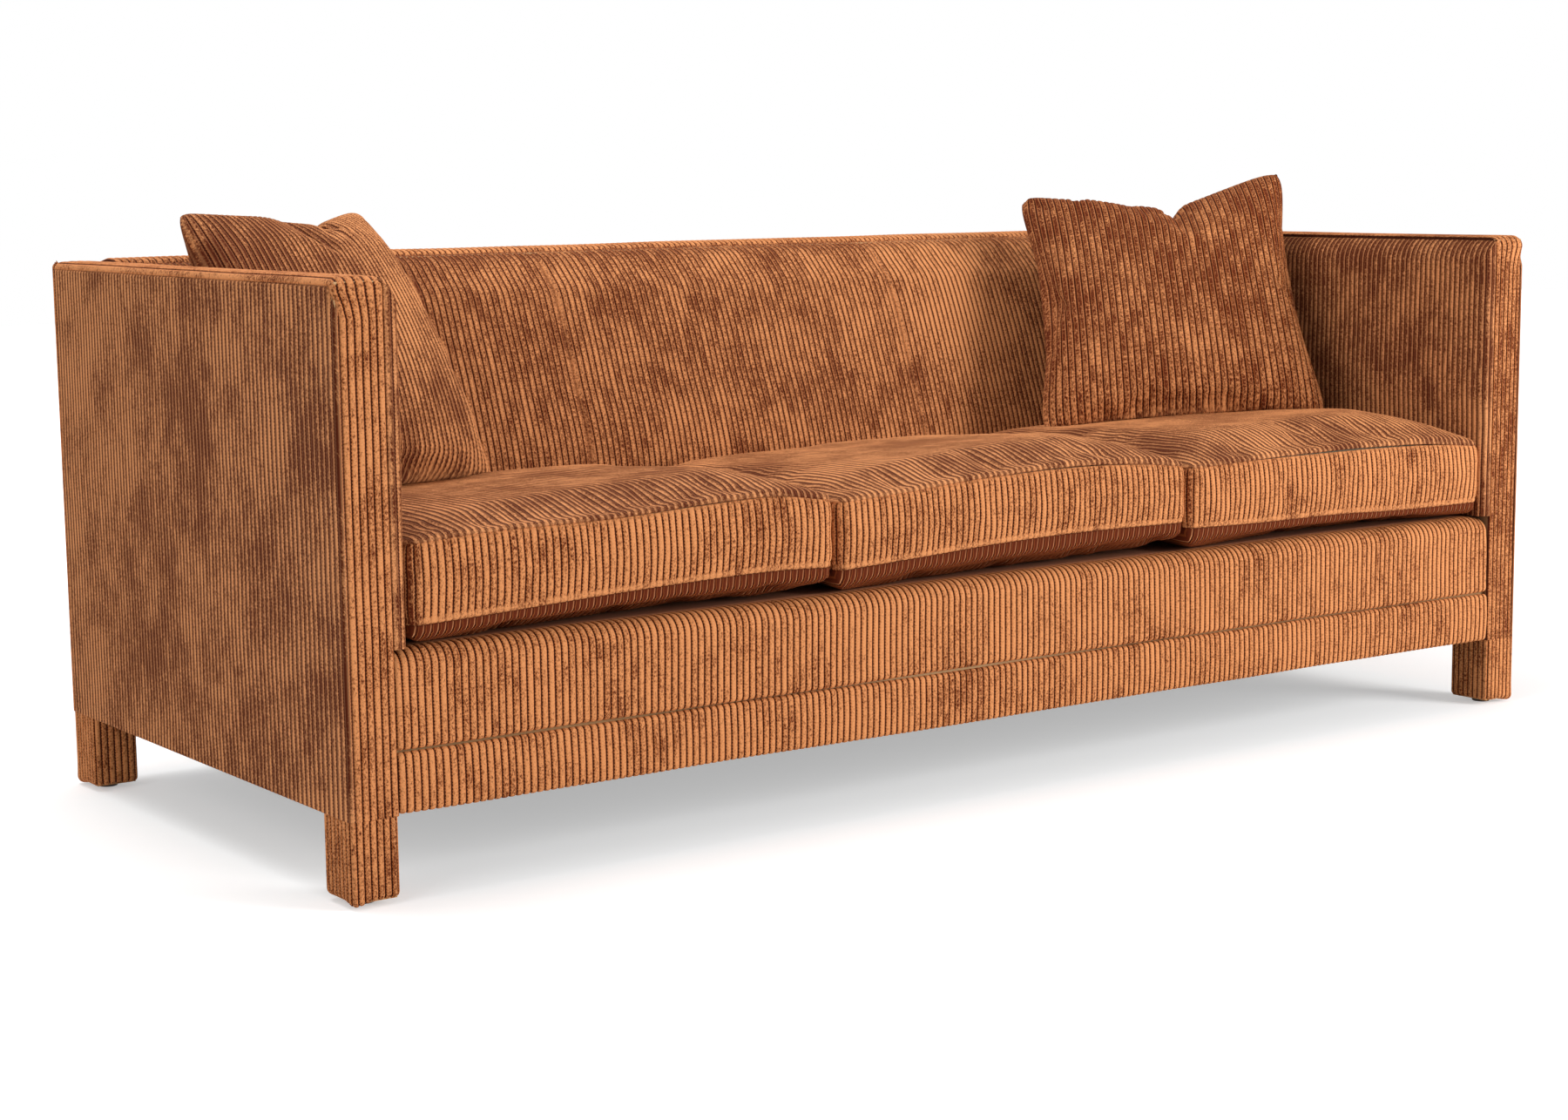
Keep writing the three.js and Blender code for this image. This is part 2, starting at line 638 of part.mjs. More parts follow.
// One quarter of the outline, from the middle of the X side round the corner to the middle of the Y
// side: how far out each point lies in X and Y, and how near it is to the corner
function rimQuarter(halfX, halfY, bulge, count) {
  return Array.from({ length: count }, (_, k) => {
    const along = (k + 1 / 2) / count;
    const side = Math.min(along / SIDE_SHARE, 1);
    const end = Math.min((1 - along) / SIDE_SHARE, 1);
    const turn = Math.min(Math.max((along - SIDE_SHARE) / (1 - 2 * SIDE_SHARE), 0), 1);
    const cos = Math.cos((turn * Math.PI) / 2);
    const sin = Math.sin((turn * Math.PI) / 2);
    const x = (halfX - CUSHION_CORNER) * end + CUSHION_CORNER * cos;
    const y = (halfY - CUSHION_CORNER) * side + CUSHION_CORNER * sin;
    const draw = bulge - CUSHION_DRAW;
    return [
      x + draw * cos * (1 - (y / halfY) ** 2),
      y + draw * sin * (1 - (x / halfX) ** 2),
      ((x * y) / (halfX * halfY)) ** DROOP_POWER,
    ];
  });
}

const seatNames = ["left", "centre", "right"];
const seatMiddle = (seat) => (seat - (SEATS - 1) / 2) * seatPitch;

function cushion(middle, inset, steps) {
  const halfX = cushionHalfX - inset;
  const halfY = (cushionY[1] - cushionY[0]) / 2 - inset;
  const top = boxingTop - inset;
  const bottom = BOXING_BOTTOM + inset;
  const belly = BOXING_BOTTOM - bellyBottom - inset;
  const dome = (share) => 1 - share ** CROWN_POWER;
  const ring = (share, z, bulge, swell, droop) => {
    const quarter = rimQuarter(halfX, halfY, bulge, steps / 4);
    const placed = (signX, signY) => quarter.map(([x, y, corner]) => [
      middle + signX * share * x,
      cushionMidY + signY * share * y,
      z + swell * dome((share * x) / halfX) * dome((share * y) / halfY) - droop * corner,
    ]);
    return [
      ...placed(1, 1),
      ...placed(-1, 1).reverse(),
      ...placed(-1, -1),
      ...placed(1, -1).reverse(),
    ];
  };
  const rings = [
    ...RING_SHARES.map((share) => ring(share, bottom, 0, -belly, 0)),
    ring(1, bottom, 0, 0, CORNER_DROOP),
    ring(1, (bottom + top) / 2, BOXING_BULGE, 0, CORNER_DROOP),
    ring(1, top, 0, 0, CORNER_DROOP),
    ...RING_SHARES.toReversed().map((share) => ring(share, top, 0, CUSHION_CROWN, 0)),
  ];
  const poleTop = [middle, cushionMidY, top + CUSHION_CROWN];
  return skin(rings, [middle, cushionMidY, bottom - belly], poleTop);
}

// The slot of a zip and its slider, lying along X and facing +Y, about the slot's middle
function zipSlot(length, depth) {
  return block([-length / 2, length / 2], [-depth, depth], [-ZIP_SLOT / 2, ZIP_SLOT / 2]);
}

// The slider stands off by the most that the wall swells along its way, and its neck reaches back in
function zipSlider(standOff) {
  const plate = block(
    [-SLIDER_LENGTH / 2, SLIDER_LENGTH / 2],
    [standOff, standOff + SLIDER_PLATE],
    [-SLIDER_HEIGHT / 2, SLIDER_HEIGHT / 2],
  );
  const neck = block(
    [-SLIDER_LENGTH / 4, SLIDER_LENGTH / 4],
    [-SLIDER_REACH, standOff + SLIDER_PLATE / 2],
    [-ZIP_SLOT / 2 + GAP, ZIP_SLOT / 2 - GAP],
  );
  const pull = block(
    [-PULL_WIDTH / 2, PULL_WIDTH / 2],
    [standOff + SLIDER_PLATE / 2, standOff + SLIDER_PLATE + PULL_PLATE],
    [-PULL_LENGTH, 0],
  );
  return join(plate, neck, pull);
}

const zipDraw = CUSHION_DRAW - BOXING_BULGE;
const zipPlaceY = cushionY[1] - zipDraw;
const zipStandOff = zipDraw * (ZIP_TRAVEL / 2 / cushionHalfX) ** 2 + GAP;
seatNames.forEach((seatName, seat) => {
  const middle = seatMiddle(seat);
  const zipPlace = [middle, zipPlaceY, (BOXING_BOTTOM + boxingTop) / 2];
  const cover = cut(
    cushion(middle, 0, CUSHION_STEPS),
    cushion(middle, CUSHION_WALL, CORE_STEPS),
    zipSlot(ZIP_LENGTH, OVERRUN).translate(...zipPlace),
  );
  add(`seat_cushion_cover_${seatName}`, cover, fabric);
  add(`seat_cushion_core_${seatName}`, cushion(middle, CUSHION_WALL + SOFT_GAP, CORE_STEPS), foam);
  const slider = zipSlider(zipStandOff).translate(ZIP_TRAVEL / 2, 0, 0).translate(...zipPlace);
  add(`seat_zip_slider_${seatName}`, slider, brass);
});

// A throw pillow spans its four corners. Its edges are drawn in between them, the top edge has a dent
// in the middle, and it swells both ways to a soft crown.
const EDGE_DRAW_SHARE = 0.07;
const DENT_SHARE = 0.16;
const DENT_WIDTH_SHARE = 0.32;
const PUFF_POWER = 0.5;
const DENT_POWER = 3;
const SWELL_SHARES = [-1, -0.5, 0, 0.5, 1];

function pillowCorners(side, places) {
  const at = ([inwards, forwards, up]) => {
    const z = SEAT_LINE + up * PILLOW_SIZE;
    return new THREE.Vector3(
      side * (seatHalfWidth - inwards * PILLOW_SIZE),
      backAt(z) - forwards * PILLOW_SIZE,
      z,
    );
  };
  const [left, right] = side < 0 ? ["Outer", "Inner"] : ["Inner", "Outer"];
  return {
    lowLeft: at(places[`low${left}`]),
    lowRight: at(places[`low${right}`]),
    highLeft: at(places[`high${left}`]),
    highRight: at(places[`high${right}`]),
  };
}

// The pillow's own directions: across to the right, up its height, and out of its front
function pillowFrame({ lowLeft, lowRight, highLeft, highRight }) {
  const across = lowRight.clone().add(highRight).sub(lowLeft).sub(highLeft).normalize();
  const rise = highLeft.clone().add(highRight).sub(lowLeft).sub(lowRight).normalize();
  const out = across.clone().cross(rise).normalize();
  return { across, rise: out.clone().cross(across), out };
}

// The point of the pillow at u across and v up, both from -1 to 1, swollen by a signed thickness
function pillowPoint(corners, out, u, v, shrink, swell) {
  const dent = DENT_SHARE * Math.exp(-((u / DENT_WIDTH_SHARE) ** 2)) * Math.max(v, 0) ** DENT_POWER;
  const x = shrink * u * (1 - EDGE_DRAW_SHARE * (1 - v * v));
  const y = shrink * v * (1 - EDGE_DRAW_SHARE * (1 - u * u)) - shrink * dent;
  const low = corners.lowLeft.clone().lerp(corners.lowRight, (1 + x) / 2);
  const high = corners.highLeft.clone().lerp(corners.highRight, (1 + x) / 2);
  const puff = ((1 - u * u) * (1 - v * v)) ** PUFF_POWER;
  return low.lerp(high, (1 + y) / 2).addScaledVector(out, swell * puff);
}

// Two faces over a grid, sewn along the edges. Each cell is split by the diagonal that runs towards
// the nearest corner, so that the faces part right up to it.
function pillow(corners, shrink, halfThickness, steps) {
  const { out } = pillowFrame(corners);
  const positions = [];
  const index = [];
  for (const face of [1, -1]) {
    const first = positions.length / 3;
    for (let j = 0; j <= steps; j += 1) {
      for (let i = 0; i <= steps; i += 1) {
        const point = pillowPoint(
          corners, out, -1 + (2 * i) / steps, -1 + (2 * j) / steps, shrink, face * halfThickness,
        );
        positions.push(...point.toArray());
      }
    }
    for (let j = 0; j < steps; j += 1) {
      for (let i = 0; i < steps; i += 1) {
        const a = first + j * (steps + 1) + i;
        const [b, c, d] = [a + 1, a + steps + 2, a + steps + 1];
        const towardsCorner = (i < steps / 2) === (j < steps / 2);
        const halves = towardsCorner ? [a, b, c, a, c, d] : [a, b, d, b, c, d];
        index.push(...(face > 0 ? halves : halves.toReversed()));
      }
    }
  }
  const geometry = new THREE.BufferGeometry();
  geometry.setAttribute("position", new THREE.Float32BufferAttribute(positions, 3));
  geometry.setIndex(index);
  return mergeVertices(geometry);
}

// How far a piece may sink before it comes within a clearance of the one under it, tried both from
// its own points down and from the other's points up
function sinkTo(piece, under, clearance) {
  const material = new THREE.MeshBasicMaterial({ side: THREE.DoubleSide });
  const caster = new THREE.Raycaster();
  const nearest = (from, to, direction) => {
    const target = new THREE.Mesh(to, material);
    const position = from.getAttribute("position");
    const way = new THREE.Vector3(0, 0, direction);
    let least = Infinity;
    for (let i = 0; i < position.count; i += 1) {
      caster.set(new THREE.Vector3().fromBufferAttribute(position, i), way);
      const [hit] = caster.intersectObject(target);
      if (hit) least = Math.min(least, hit.distance);
    }
    return least;
  };
  return Math.min(nearest(piece, under, -1), nearest(under, piece, 1)) - clearance;
}

const cavityShare = 1 - CAVITY_EDGE / PILLOW_SIZE;
for (const [sideName, side, places, seat] of [
  ["left", -1, LEFT_PILLOW_SHARES, 0],
  ["right", 1, RIGHT_PILLOW_SHARES, SEATS - 1],
]) {
  const corners = pillowCorners(side, places);
  for (const corner of Object.values(corners)) corner.z += CUSHION_CROWN;
  const seatForm = cushion(seatMiddle(seat), 0, CUSHION_STEPS);
  const sink = sinkTo(pillow(corners, 1, PILLOW_HALF_THICKNESS, PILLOW_STEPS), seatForm, SOFT_GAP);
  for (const corner of Object.values(corners)) corner.z -= sink;

  // The zip lies across the back of the pillow, a little above its lower edge, square to the skin
  // there. Its slider stands off by the most that the skin swells along its way, and rests at the
  // zip's lower end.
  const { out } = pillowFrame(corners);
  const zipV = -1 + 2 * PILLOW_ZIP_SHARE;
  const reachU = (PILLOW_ZIP_TRAVEL + SLIDER_LENGTH) / PILLOW_SIZE;
  const reachV = SLIDER_HEIGHT / PILLOW_SIZE;
  const backSkin = (u, v) => pillowPoint(corners, out, u, v, 1, -PILLOW_HALF_THICKNESS);
  const zipMiddle = backSkin(0, zipV);
  const along = backSkin(reachU, zipV).sub(backSkin(-reachU, zipV)).normalize();
  const slope = backSkin(0, zipV + reachV).sub(backSkin(0, zipV - reachV));
  const outward = slope.cross(along).normalize();
  const facing = new THREE.Matrix4().makeBasis(along, outward, along.clone().cross(outward));
  facing.setPosition(zipMiddle);
  const heights = SWELL_SHARES.flatMap((share) =>
    [-1, 0, 1].map((row) =>
      backSkin(share * reachU, zipV + row * reachV).sub(zipMiddle).dot(outward)));
  const cover = cut(
    pillow(corners, 1, PILLOW_HALF_THICKNESS, PILLOW_STEPS),
    pillow(corners, cavityShare, PILLOW_HALF_THICKNESS - PILLOW_WALL, FILLING_STEPS),
    zipSlot(PILLOW_ZIP_LENGTH, 2 * OVERRUN).applyMatrix4(facing),
  );
  add(`pillow_cover_${sideName}`, cover, fabric);
  const insertShare = cavityShare - (2 * SOFT_GAP) / PILLOW_SIZE;
  const insertThickness = PILLOW_HALF_THICKNESS - PILLOW_WALL - SOFT_GAP;
  add(`pillow_insert_${sideName}`, pillow(corners, insertShare, insertThickness, FILLING_STEPS), feather);
  const slider = zipSlider(Math.max(...heights) + SOFT_GAP);
  const lowEnd = -Math.sign(along.z) * (PILLOW_ZIP_TRAVEL / 2);
  slider.translate(lowEnd, 0, 0).applyMatrix4(facing);
  add(`pillow_zip_slider_${sideName}`, slider, nylon);
}

export default sofa;
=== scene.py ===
"""Looks of the three-seat tuxedo sofa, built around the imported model.

Metres, in the model's own frame: X runs along the sofa, the front faces -Y, Z is up, and the origin is
on the floor under the middle. Each sub-assembly is a class. Cloth panels are grids of points worked out
as whole arrays: columns stand across the ribs, rows follow them.
"""

import logging
import math
from dataclasses import dataclass, field, replace
from enum import Enum
from typing import Callable

import bpy
import numpy as np
from mathutils import Matrix, Vector
from mathutils.bvhtree import BVHTree


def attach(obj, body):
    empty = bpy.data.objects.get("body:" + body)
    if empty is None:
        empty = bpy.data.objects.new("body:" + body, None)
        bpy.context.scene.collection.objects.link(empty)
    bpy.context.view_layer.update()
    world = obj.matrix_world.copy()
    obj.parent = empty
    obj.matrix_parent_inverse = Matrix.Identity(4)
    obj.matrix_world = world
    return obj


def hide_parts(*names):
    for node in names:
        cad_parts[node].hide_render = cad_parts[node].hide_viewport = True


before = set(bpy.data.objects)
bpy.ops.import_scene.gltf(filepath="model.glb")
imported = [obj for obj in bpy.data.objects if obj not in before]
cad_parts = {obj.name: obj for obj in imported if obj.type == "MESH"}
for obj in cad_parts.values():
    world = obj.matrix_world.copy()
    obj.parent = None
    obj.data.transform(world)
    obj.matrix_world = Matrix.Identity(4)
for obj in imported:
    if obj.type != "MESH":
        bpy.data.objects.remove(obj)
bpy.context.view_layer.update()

log = logging.getLogger("sofa")
Array = np.ndarray
Surface = Callable[[Array, Array], Array]
Spot = tuple[float, float, float]
Socket = bpy.types.NodeSocket

# Overall sizes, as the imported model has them
HALF_WIDTH = 1.1685
HALF_DEPTH = 0.495
ARM_HEIGHT = 0.842
LEG_WIDTH = 0.074
LEG_DEPTH = 0.087
LEG_HEIGHT = 0.1205
ARM_INNER = HALF_WIDTH - LEG_WIDTH
SEAT_HALF = 1.0715
SEAT_PITCH = 0.7143333
FRONT_FACE = -0.493
EDGE_ROUND = 0.009
SEAM_INSET = 0.009
BAND_TOP = 0.2065
ROLL_TOP = 0.345
BACK_FACE = 0.196
BACK_SEAM_Y = 0.405
BACK_TOP = 0.846
REAR_SEAM_Y = 0.486

# How far inside a solid's face the tops of the ribs lie
STAND_OFF = 0.0006

# The ribbed cloth: pitch, height of a rib and its cross-section, from groove to groove
RIB_PITCH = 0.0113
FACING_PITCH = 0.0325 / 3
RELIEF = 0.0027
CLOTH = 0.0025
RIB_PHASES = np.array([0.0, 0.075, 0.15, 0.28, 0.5, 0.72, 0.85, 0.925])
RIB_RISES = np.array([0.0, 0.34, 0.72, 0.94, 1.0, 0.94, 0.72, 0.34])
SEAM_LEVEL = 0.62
RIB_COLUMNS = len(RIB_PHASES)

# How far apart the patterns of two plots of cloth start: ribs across and metres along
PLOT_RIBS = 40
PLOT_METRES = 1.7

# The zip in each seat cushion's rear boxing
ZIP_HEIGHT = 0.4285
ZIP_HALF = 0.222


class Place(Enum):
    """A named place on the sofa, with a value of its own."""

    @property
    def word(self) -> str:
        """The place's name, as pieces carry it."""
        return self.name.lower()


class Side(Place):
    """The two sides of the sofa, with the sign of X on each."""

    LEFT = -1
    RIGHT = 1


class End(Place):
    """The front and the rear, with the sign of Y at each."""

    FRONT = -1
    REAR = 1


class Seat(Place):
    """The three seats, with the middle of each along X."""

    LEFT = -SEAT_PITCH
    CENTRE = 0.0
    RIGHT = SEAT_PITCH


# Grids, paths and meshes


def lerp(low: Array | float, high: Array | float, share: Array | float) -> Array:
    """The point at a share of the way from low to high."""
    return low + (high - low) * share


def unit(value: Array | float) -> Array:
    """The value held between 0 and 1."""
    return np.clip(value, 0, 1)


def bell(distance: Array, width: float) -> Array:
    """A smooth bump, exp(-(distance / width) squared)."""
    return np.exp(-((distance / width) ** 2))


def seam_fade(distance: Array, width: float = 0.004, depth: float = 0.75) -> Array:
    """Ribs are pressed flat at a seam: 1 - depth * bell(distance)."""
    return 1 - depth * bell(distance, width)


def edge_distance(value: Array, low: float, high: float) -> Array:
    """How far a value is from the nearer of two limits."""
    return np.minimum(value - low, high - value)


def inland(value: Array, low: float, high: float, width: float) -> Array:
    """0 at two limits and 1 further in than the width."""
    return unit(edge_distance(value, low, high) / width)


# Distances from a seam at which a panel has extra rows
NEAR_ENDS = (0.0015, 0.003, 0.005, 0.008, 0.012)


@dataclass(frozen=True)
class Path:
    """A line of points that can be read at any length along it."""

    points: Array

    @property
    def lengths(self) -> Array:
        """The length along the line at each point."""
        steps = np.linalg.norm(np.diff(self.points, axis=0), axis=1)
        return np.concatenate([[0.0], np.cumsum(steps)])

    @property
    def length(self) -> float:
        """The whole length."""
        return float(self.lengths[-1])

    def at(self, length: Array) -> Array:
        """The points at these lengths, in an array with one more axis."""
        lengths = self.lengths
        return np.stack([np.interp(length, lengths, axis) for axis in self.points.T], -1)

    def normal(self, length: Array) -> Array:
        """The line's right-hand normal at these lengths, smoothed over 1 mm."""
        step = 0.0005
        way = self.at(np.asarray(length) + step) - self.at(np.asarray(length) - step)
        way /= np.maximum(np.linalg.norm(way, axis=-1, keepdims=True), 1e-9)
        return np.stack([way[..., 1], -way[..., 0]], -1)

    def rows(self, step: float = 0.018, near_ends: tuple[float, ...] = NEAR_ENDS) -> Array:
        """Row lengths: every bend of the line, an even step between, and closer rows near both ends.

        Args:
            step: The widest step between rows.
            near_ends: Distances from each end that get a row.

        Returns:
            The lengths, rising.
        """
        even = np.linspace(0, self.length, max(int(self.length / step), 2) + 1)
        ends = np.array(near_ends)
        found = np.concatenate([even, self.lengths, ends, self.length - ends])
        found = np.unique(np.clip(found, 0, self.length))
        keep = np.concatenate([[True], np.diff(found) > 0.0006])
        keep[-1] = True
        found = found[keep]
        if found[-1] - found[-2] < 0.0004:
            found = np.delete(found, -2)
        return found


def rounded(corners: list[Spot], steps: int = 8) -> Path:
    """A line through corners, each rounded by its own radius.

    Each corner is replaced by an arc that is tangent to both of its sides: the arc starts
    radius * tan(turn / 2) before the corner.

    Args:
        corners: Places and radii; the first and last have no radius.
        steps: Points along each arc.

    Returns:
        The line as a path.
    """
    places = np.array([corner[:2] for corner in corners], float)
    line = [places[:1]]
    for before, here, after, corner in zip(places, places[1:], places[2:], corners[1:]):
        radius = corner[2]
        way_in = (here - before) / np.linalg.norm(here - before)
        way_out = (after - here) / np.linalg.norm(after - here)
        turn = math.atan2(way_in[0] * way_out[1] - way_in[1] * way_out[0], way_in @ way_out)
        if radius <= 0 or abs(turn) < 1e-6:
            line.append(here[None])
            continue
        side = np.array([-way_in[1], way_in[0]]) * math.copysign(1, turn)
        start = here - way_in * radius * math.tan(abs(turn) / 2)
        centre = start + side * radius
        angles = np.linspace(0, abs(turn), steps)[:, None]
        line.append(centre - side * radius * np.cos(angles) + way_in * radius * np.sin(angles))
    line.append(places[-1:])
    return Path(np.concatenate(line))


def even_grooves(start: float, end: float, pitch: float = RIB_PITCH) -> Array:
    """Where the grooves lie: an even division of the way from start to end, about a pitch apart."""
    count = max(round(abs(end - start) / pitch), 1)
    return np.linspace(start, end, count + 1)


@dataclass(frozen=True)
class Ribs:
    """The columns of a ribbed grid, worked out from where its grooves lie."""

    grooves: Array

    def spread(self, values: Array) -> Array:
        """Each rib's columns, at the phases of the rib's cross-section, and the last groove."""
        inner = values[:-1, None] + np.diff(values)[:, None] * RIB_PHASES
        return np.concatenate([inner.ravel(), values[-1:]])

    @property
    def across(self) -> Array:
        """Metres across the ribs at each column."""
        return self.spread(self.grooves)

    @property
    def count(self) -> Array:
        """The rib coordinate at each column: whole numbers are grooves."""
        return self.spread(np.arange(len(self.grooves), dtype=float))

    @property
    def rise(self) -> Array:
        """The share of a rib's height at each column."""
        return np.concatenate([np.tile(RIB_RISES, len(self.grooves) - 1), RIB_RISES[:1]])


def quads(grid: Array) -> Array:
    """The four-cornered faces of a grid of point numbers, one row each."""
    return np.stack([grid[:-1, :-1], grid[:-1, 1:], grid[1:, 1:], grid[1:, :-1]], -1).reshape(-1, 4)


def grid_normals(points: Array, closed: bool = False) -> Array:
    """Unit normals of a grid: the cross product of its differences across and along.

    Args:
        points: Rows by columns by 3.
        closed: True where the last column lies on the first.

    Returns:
        An array like points.
    """
    if closed:
        wrapped = np.concatenate([points[:, -2:-1], points, points[:, 1:2]], axis=1)
        across = wrapped[:, 2:] - wrapped[:, :-2]
    else:
        across = np.gradient(points, axis=1)
    normals = np.cross(across, np.gradient(points, axis=0))
    return normals / np.maximum(np.linalg.norm(normals, axis=-1, keepdims=True), 1e-12)


@dataclass
class Cloth:
    """The points, faces and rib coordinates of one piece, gathered sheet by sheet."""

    points: list[Array] = field(default_factory=list)
    faces: list[Array] = field(default_factory=list)
    coords: list[Array] = field(default_factory=list)
    twins: list[Array] = field(default_factory=list)
    pile: list[Array] = field(default_factory=list)
    total: int = 0

    def add(
        self,
        points: Array,
        faces: list[Array],
        coords: Array,
        twins: Array | None = None,
        pile: Array | None = None,
    ) -> None:
        """Adds one sheet.

        Args:
            points: Its points, one row each.
            faces: Arrays of faces, all faces of one array with as many corners.
            coords: The rib coordinates of each point.
            twins: For each point, the point whose place it shares, or itself.
            pile: For each point, the painted light and shade with any random tone zones, the painted light
                and shade on the ribs' flanks, and how strong the ribs are.
        """
        own = np.arange(len(points)) if twins is None else twins
        self.pile.append(np.tile([0.0, 0.0, 1.0], (len(points), 1)) if pile is None else pile)
        self.points.append(points)
        self.coords.append(coords)
        self.twins.append(own + self.total)
        self.faces.extend(part + self.total for part in faces if len(part))
        self.total += len(points)

    def build(self, name: str) -> bpy.types.Object:
        """Puts the piece's arrays into a mesh, smooth, with the UV map Ribs and the attribute pile.

        Args:
            name: The piece's name.

        Returns:
            The object, at the origin.
        """
        points = np.concatenate(self.points)
        coords = np.concatenate(self.coords)
        twins = np.concatenate(self.twins)
        corners = np.concatenate([part.ravel() for part in self.faces])
        sizes = np.concatenate([np.full(len(part), part.shape[1]) for part in self.faces])
        used, index = np.unique(twins[corners], return_inverse=True)
        mesh = bpy.data.meshes.new(name)
        mesh.vertices.add(len(used))
        mesh.vertices.foreach_set("co", points[used].astype(np.float32).ravel())
        mesh.loops.add(len(corners))
        mesh.loops.foreach_set("vertex_index", index.astype(np.int32))
        mesh.polygons.add(len(sizes))
        mesh.polygons.foreach_set("loop_start", np.concatenate([[0], np.cumsum(sizes)[:-1]]).astype(np.int32))
        mesh.uv_layers.new(name="Ribs").data.foreach_set("uv", coords[corners].astype(np.float32).ravel())
        mesh.update(calc_edges=True)
        pile = mesh.attributes.new("pile", "FLOAT_VECTOR", "POINT")
        pile.data.foreach_set("vector", np.concatenate(self.pile)[used].astype(np.float32).ravel())
        mesh.polygons.foreach_set("use_smooth", np.ones(len(sizes), bool))
        mesh.update()
        piece = bpy.data.objects.new(name, mesh)
        bpy.context.scene.collection.objects.link(piece)
        return piece


def shell(outer: Array, inner: Array, stride: int, closed: bool, outward: bool) -> tuple[list[Array], Array]:
    """The faces of a closed sheet between an outer grid and a sparser inner one.

    Each inner column lies behind every stride-th outer column. The points are numbered outer first.
    The open borders are bridged, so the sheet is closed all round.

    Args:
        outer: Rows by columns by 3.
        inner: As many rows, one column for each stride.
        stride: Outer columns for each inner one.
        closed: True where the last column lies on the first.
        outward: False where the grid's normals point inwards, so that faces turn round.

    Returns:
        The arrays of faces, and for each point the point whose place it shares.
    """
    rows, columns = outer.shape[:2]
    inner_columns = inner.shape[1]
    front = np.arange(rows * columns).reshape(rows, columns)
    back = rows * columns + np.arange(rows * inner_columns).reshape(rows, inner_columns)
    starts = np.arange(inner_columns - 1)[:, None] * stride
    along = starts + np.arange(stride + 1)
    low = np.concatenate([front[0][along][:, ::-1], back[0, :-1, None], back[0, 1:, None]], 1)
    high = np.concatenate([front[-1][along], back[-1, 1:, None], back[-1, :-1, None]], 1)
    faces = [quads(front), quads(back)[:, ::-1], low, high]
    if not closed:
        first = [front[:-1, 0], front[1:, 0], back[1:, 0], back[:-1, 0]]
        last = [front[1:, -1], front[:-1, -1], back[:-1, -1], back[1:, -1]]
        faces += [np.stack(first, -1), np.stack(last, -1)]
    if not outward:
        faces = [part[:, ::-1] for part in faces]
    twins = np.arange(rows * (columns + inner_columns))
    if closed:
        twins[front[:, -1]] = front[:, 0]
        twins[back[:, -1]] = back[:, 0]
    return faces, twins


@dataclass(frozen=True)
class Seam:
    """A seam at a place along or across a sheet, which presses the ribs flat there."""

    at: float
    across: bool = False
    width: float = 0.004
    depth: float = 0.75

    def fade(self, across: Array, along: Array) -> Array:
        """What is left of the ribs' height at each point."""
        return seam_fade((across if self.across else along) - self.at, self.width, self.depth)


@dataclass
class RibbedSheet:
    """One sheet of ribbed cloth with its own thickness.

    The base surface carries the tops of the ribs. A point sinks by relief * (1 - level) along the
    normal, where level is the rib's cross-section away from the seams and evens out at them. The inside
    is a point that the sheet faces away from, and the plot is where its pattern of pile starts.
    """

    ribs: Ribs
    rows: Array
    surface: Surface
    inside: Spot
    seams: tuple[Seam, ...] = ()
    fade: Surface | None = None
    closed: bool = False
    relief: float = RELIEF
    thickness: float = CLOTH
    wander: float = 0.0006
    plot: int = 0
    # light and shade painted over the sheet, on the outside arms with random tone zones
    nap: float | Surface = 0.0
    # light painted on each rib's near flank and shade on its far flank; it also deepens the blotches
    lean: float = 0.0

    def spread_rows(self) -> tuple[Array, Array]:
        """The metres across and along at each point of the grid. Rows may be one list or a grid."""
        across = self.ribs.across
        along = self.rows if self.rows.ndim == 2 else np.repeat(self.rows[:, None], len(across), 1)
        return np.repeat(across[None], len(along), 0), along

    def add_to(self, cloth: Cloth) -> None:
        """Works the sheet out and adds it to a piece: tops, grooves, an inner layer and the borders.

        Args:
            cloth: The piece.
        """
        across, along = self.spread_rows()
        sway = np.sin(along * 21 + across * 3.1 + self.plot)
        sway = sway + 0.6 * np.sin(along * 47 - across * 5.3 + 2 * self.plot)
        held = inland(across, across.min(), across.max(), 0.02)
        base = self.surface(across + self.wander * sway * held, along)
        normals = grid_normals(base, self.closed)
        away = base - np.array(self.inside)
        outward = float((normals * away).sum()) > 0
        if not outward:
            normals = -normals
        fade = 1.0 if self.fade is None else self.fade(across, along)
        for seam in self.seams:
            fade = fade * seam.fade(across, along)
        sink = self.relief * (1 - self.ribs.rise[None] * fade - SEAM_LEVEL * (1 - fade))
        outer = base - normals * sink[..., None]
        inner = (base - normals * (self.relief + self.thickness))[:, ::RIB_COLUMNS]
        faces, twins = shell(outer, inner, RIB_COLUMNS, self.closed, outward)
        count = np.repeat(self.ribs.count[None], len(along), 0) + PLOT_RIBS * self.plot
        coords = np.stack([count, along + PLOT_METRES * self.plot], -1)
        # the pile attribute: painted light and shade, painted light and shade on the ribs' flanks, and the
        # ribs' strength
        nap = self.nap(across, along) if callable(self.nap) else self.nap
        still = np.zeros_like(across)
        pile = np.stack([still + nap, still + self.lean, still + fade], -1)
        flat = np.concatenate([coords.reshape(-1, 2), coords[:, ::RIB_COLUMNS].reshape(-1, 2)])
        lain = np.concatenate([pile.reshape(-1, 3), pile[:, ::RIB_COLUMNS].reshape(-1, 3)])
        points = np.concatenate([outer.reshape(-1, 3), inner.reshape(-1, 3)])
        cloth.add(points, faces, flat, twins, lain)


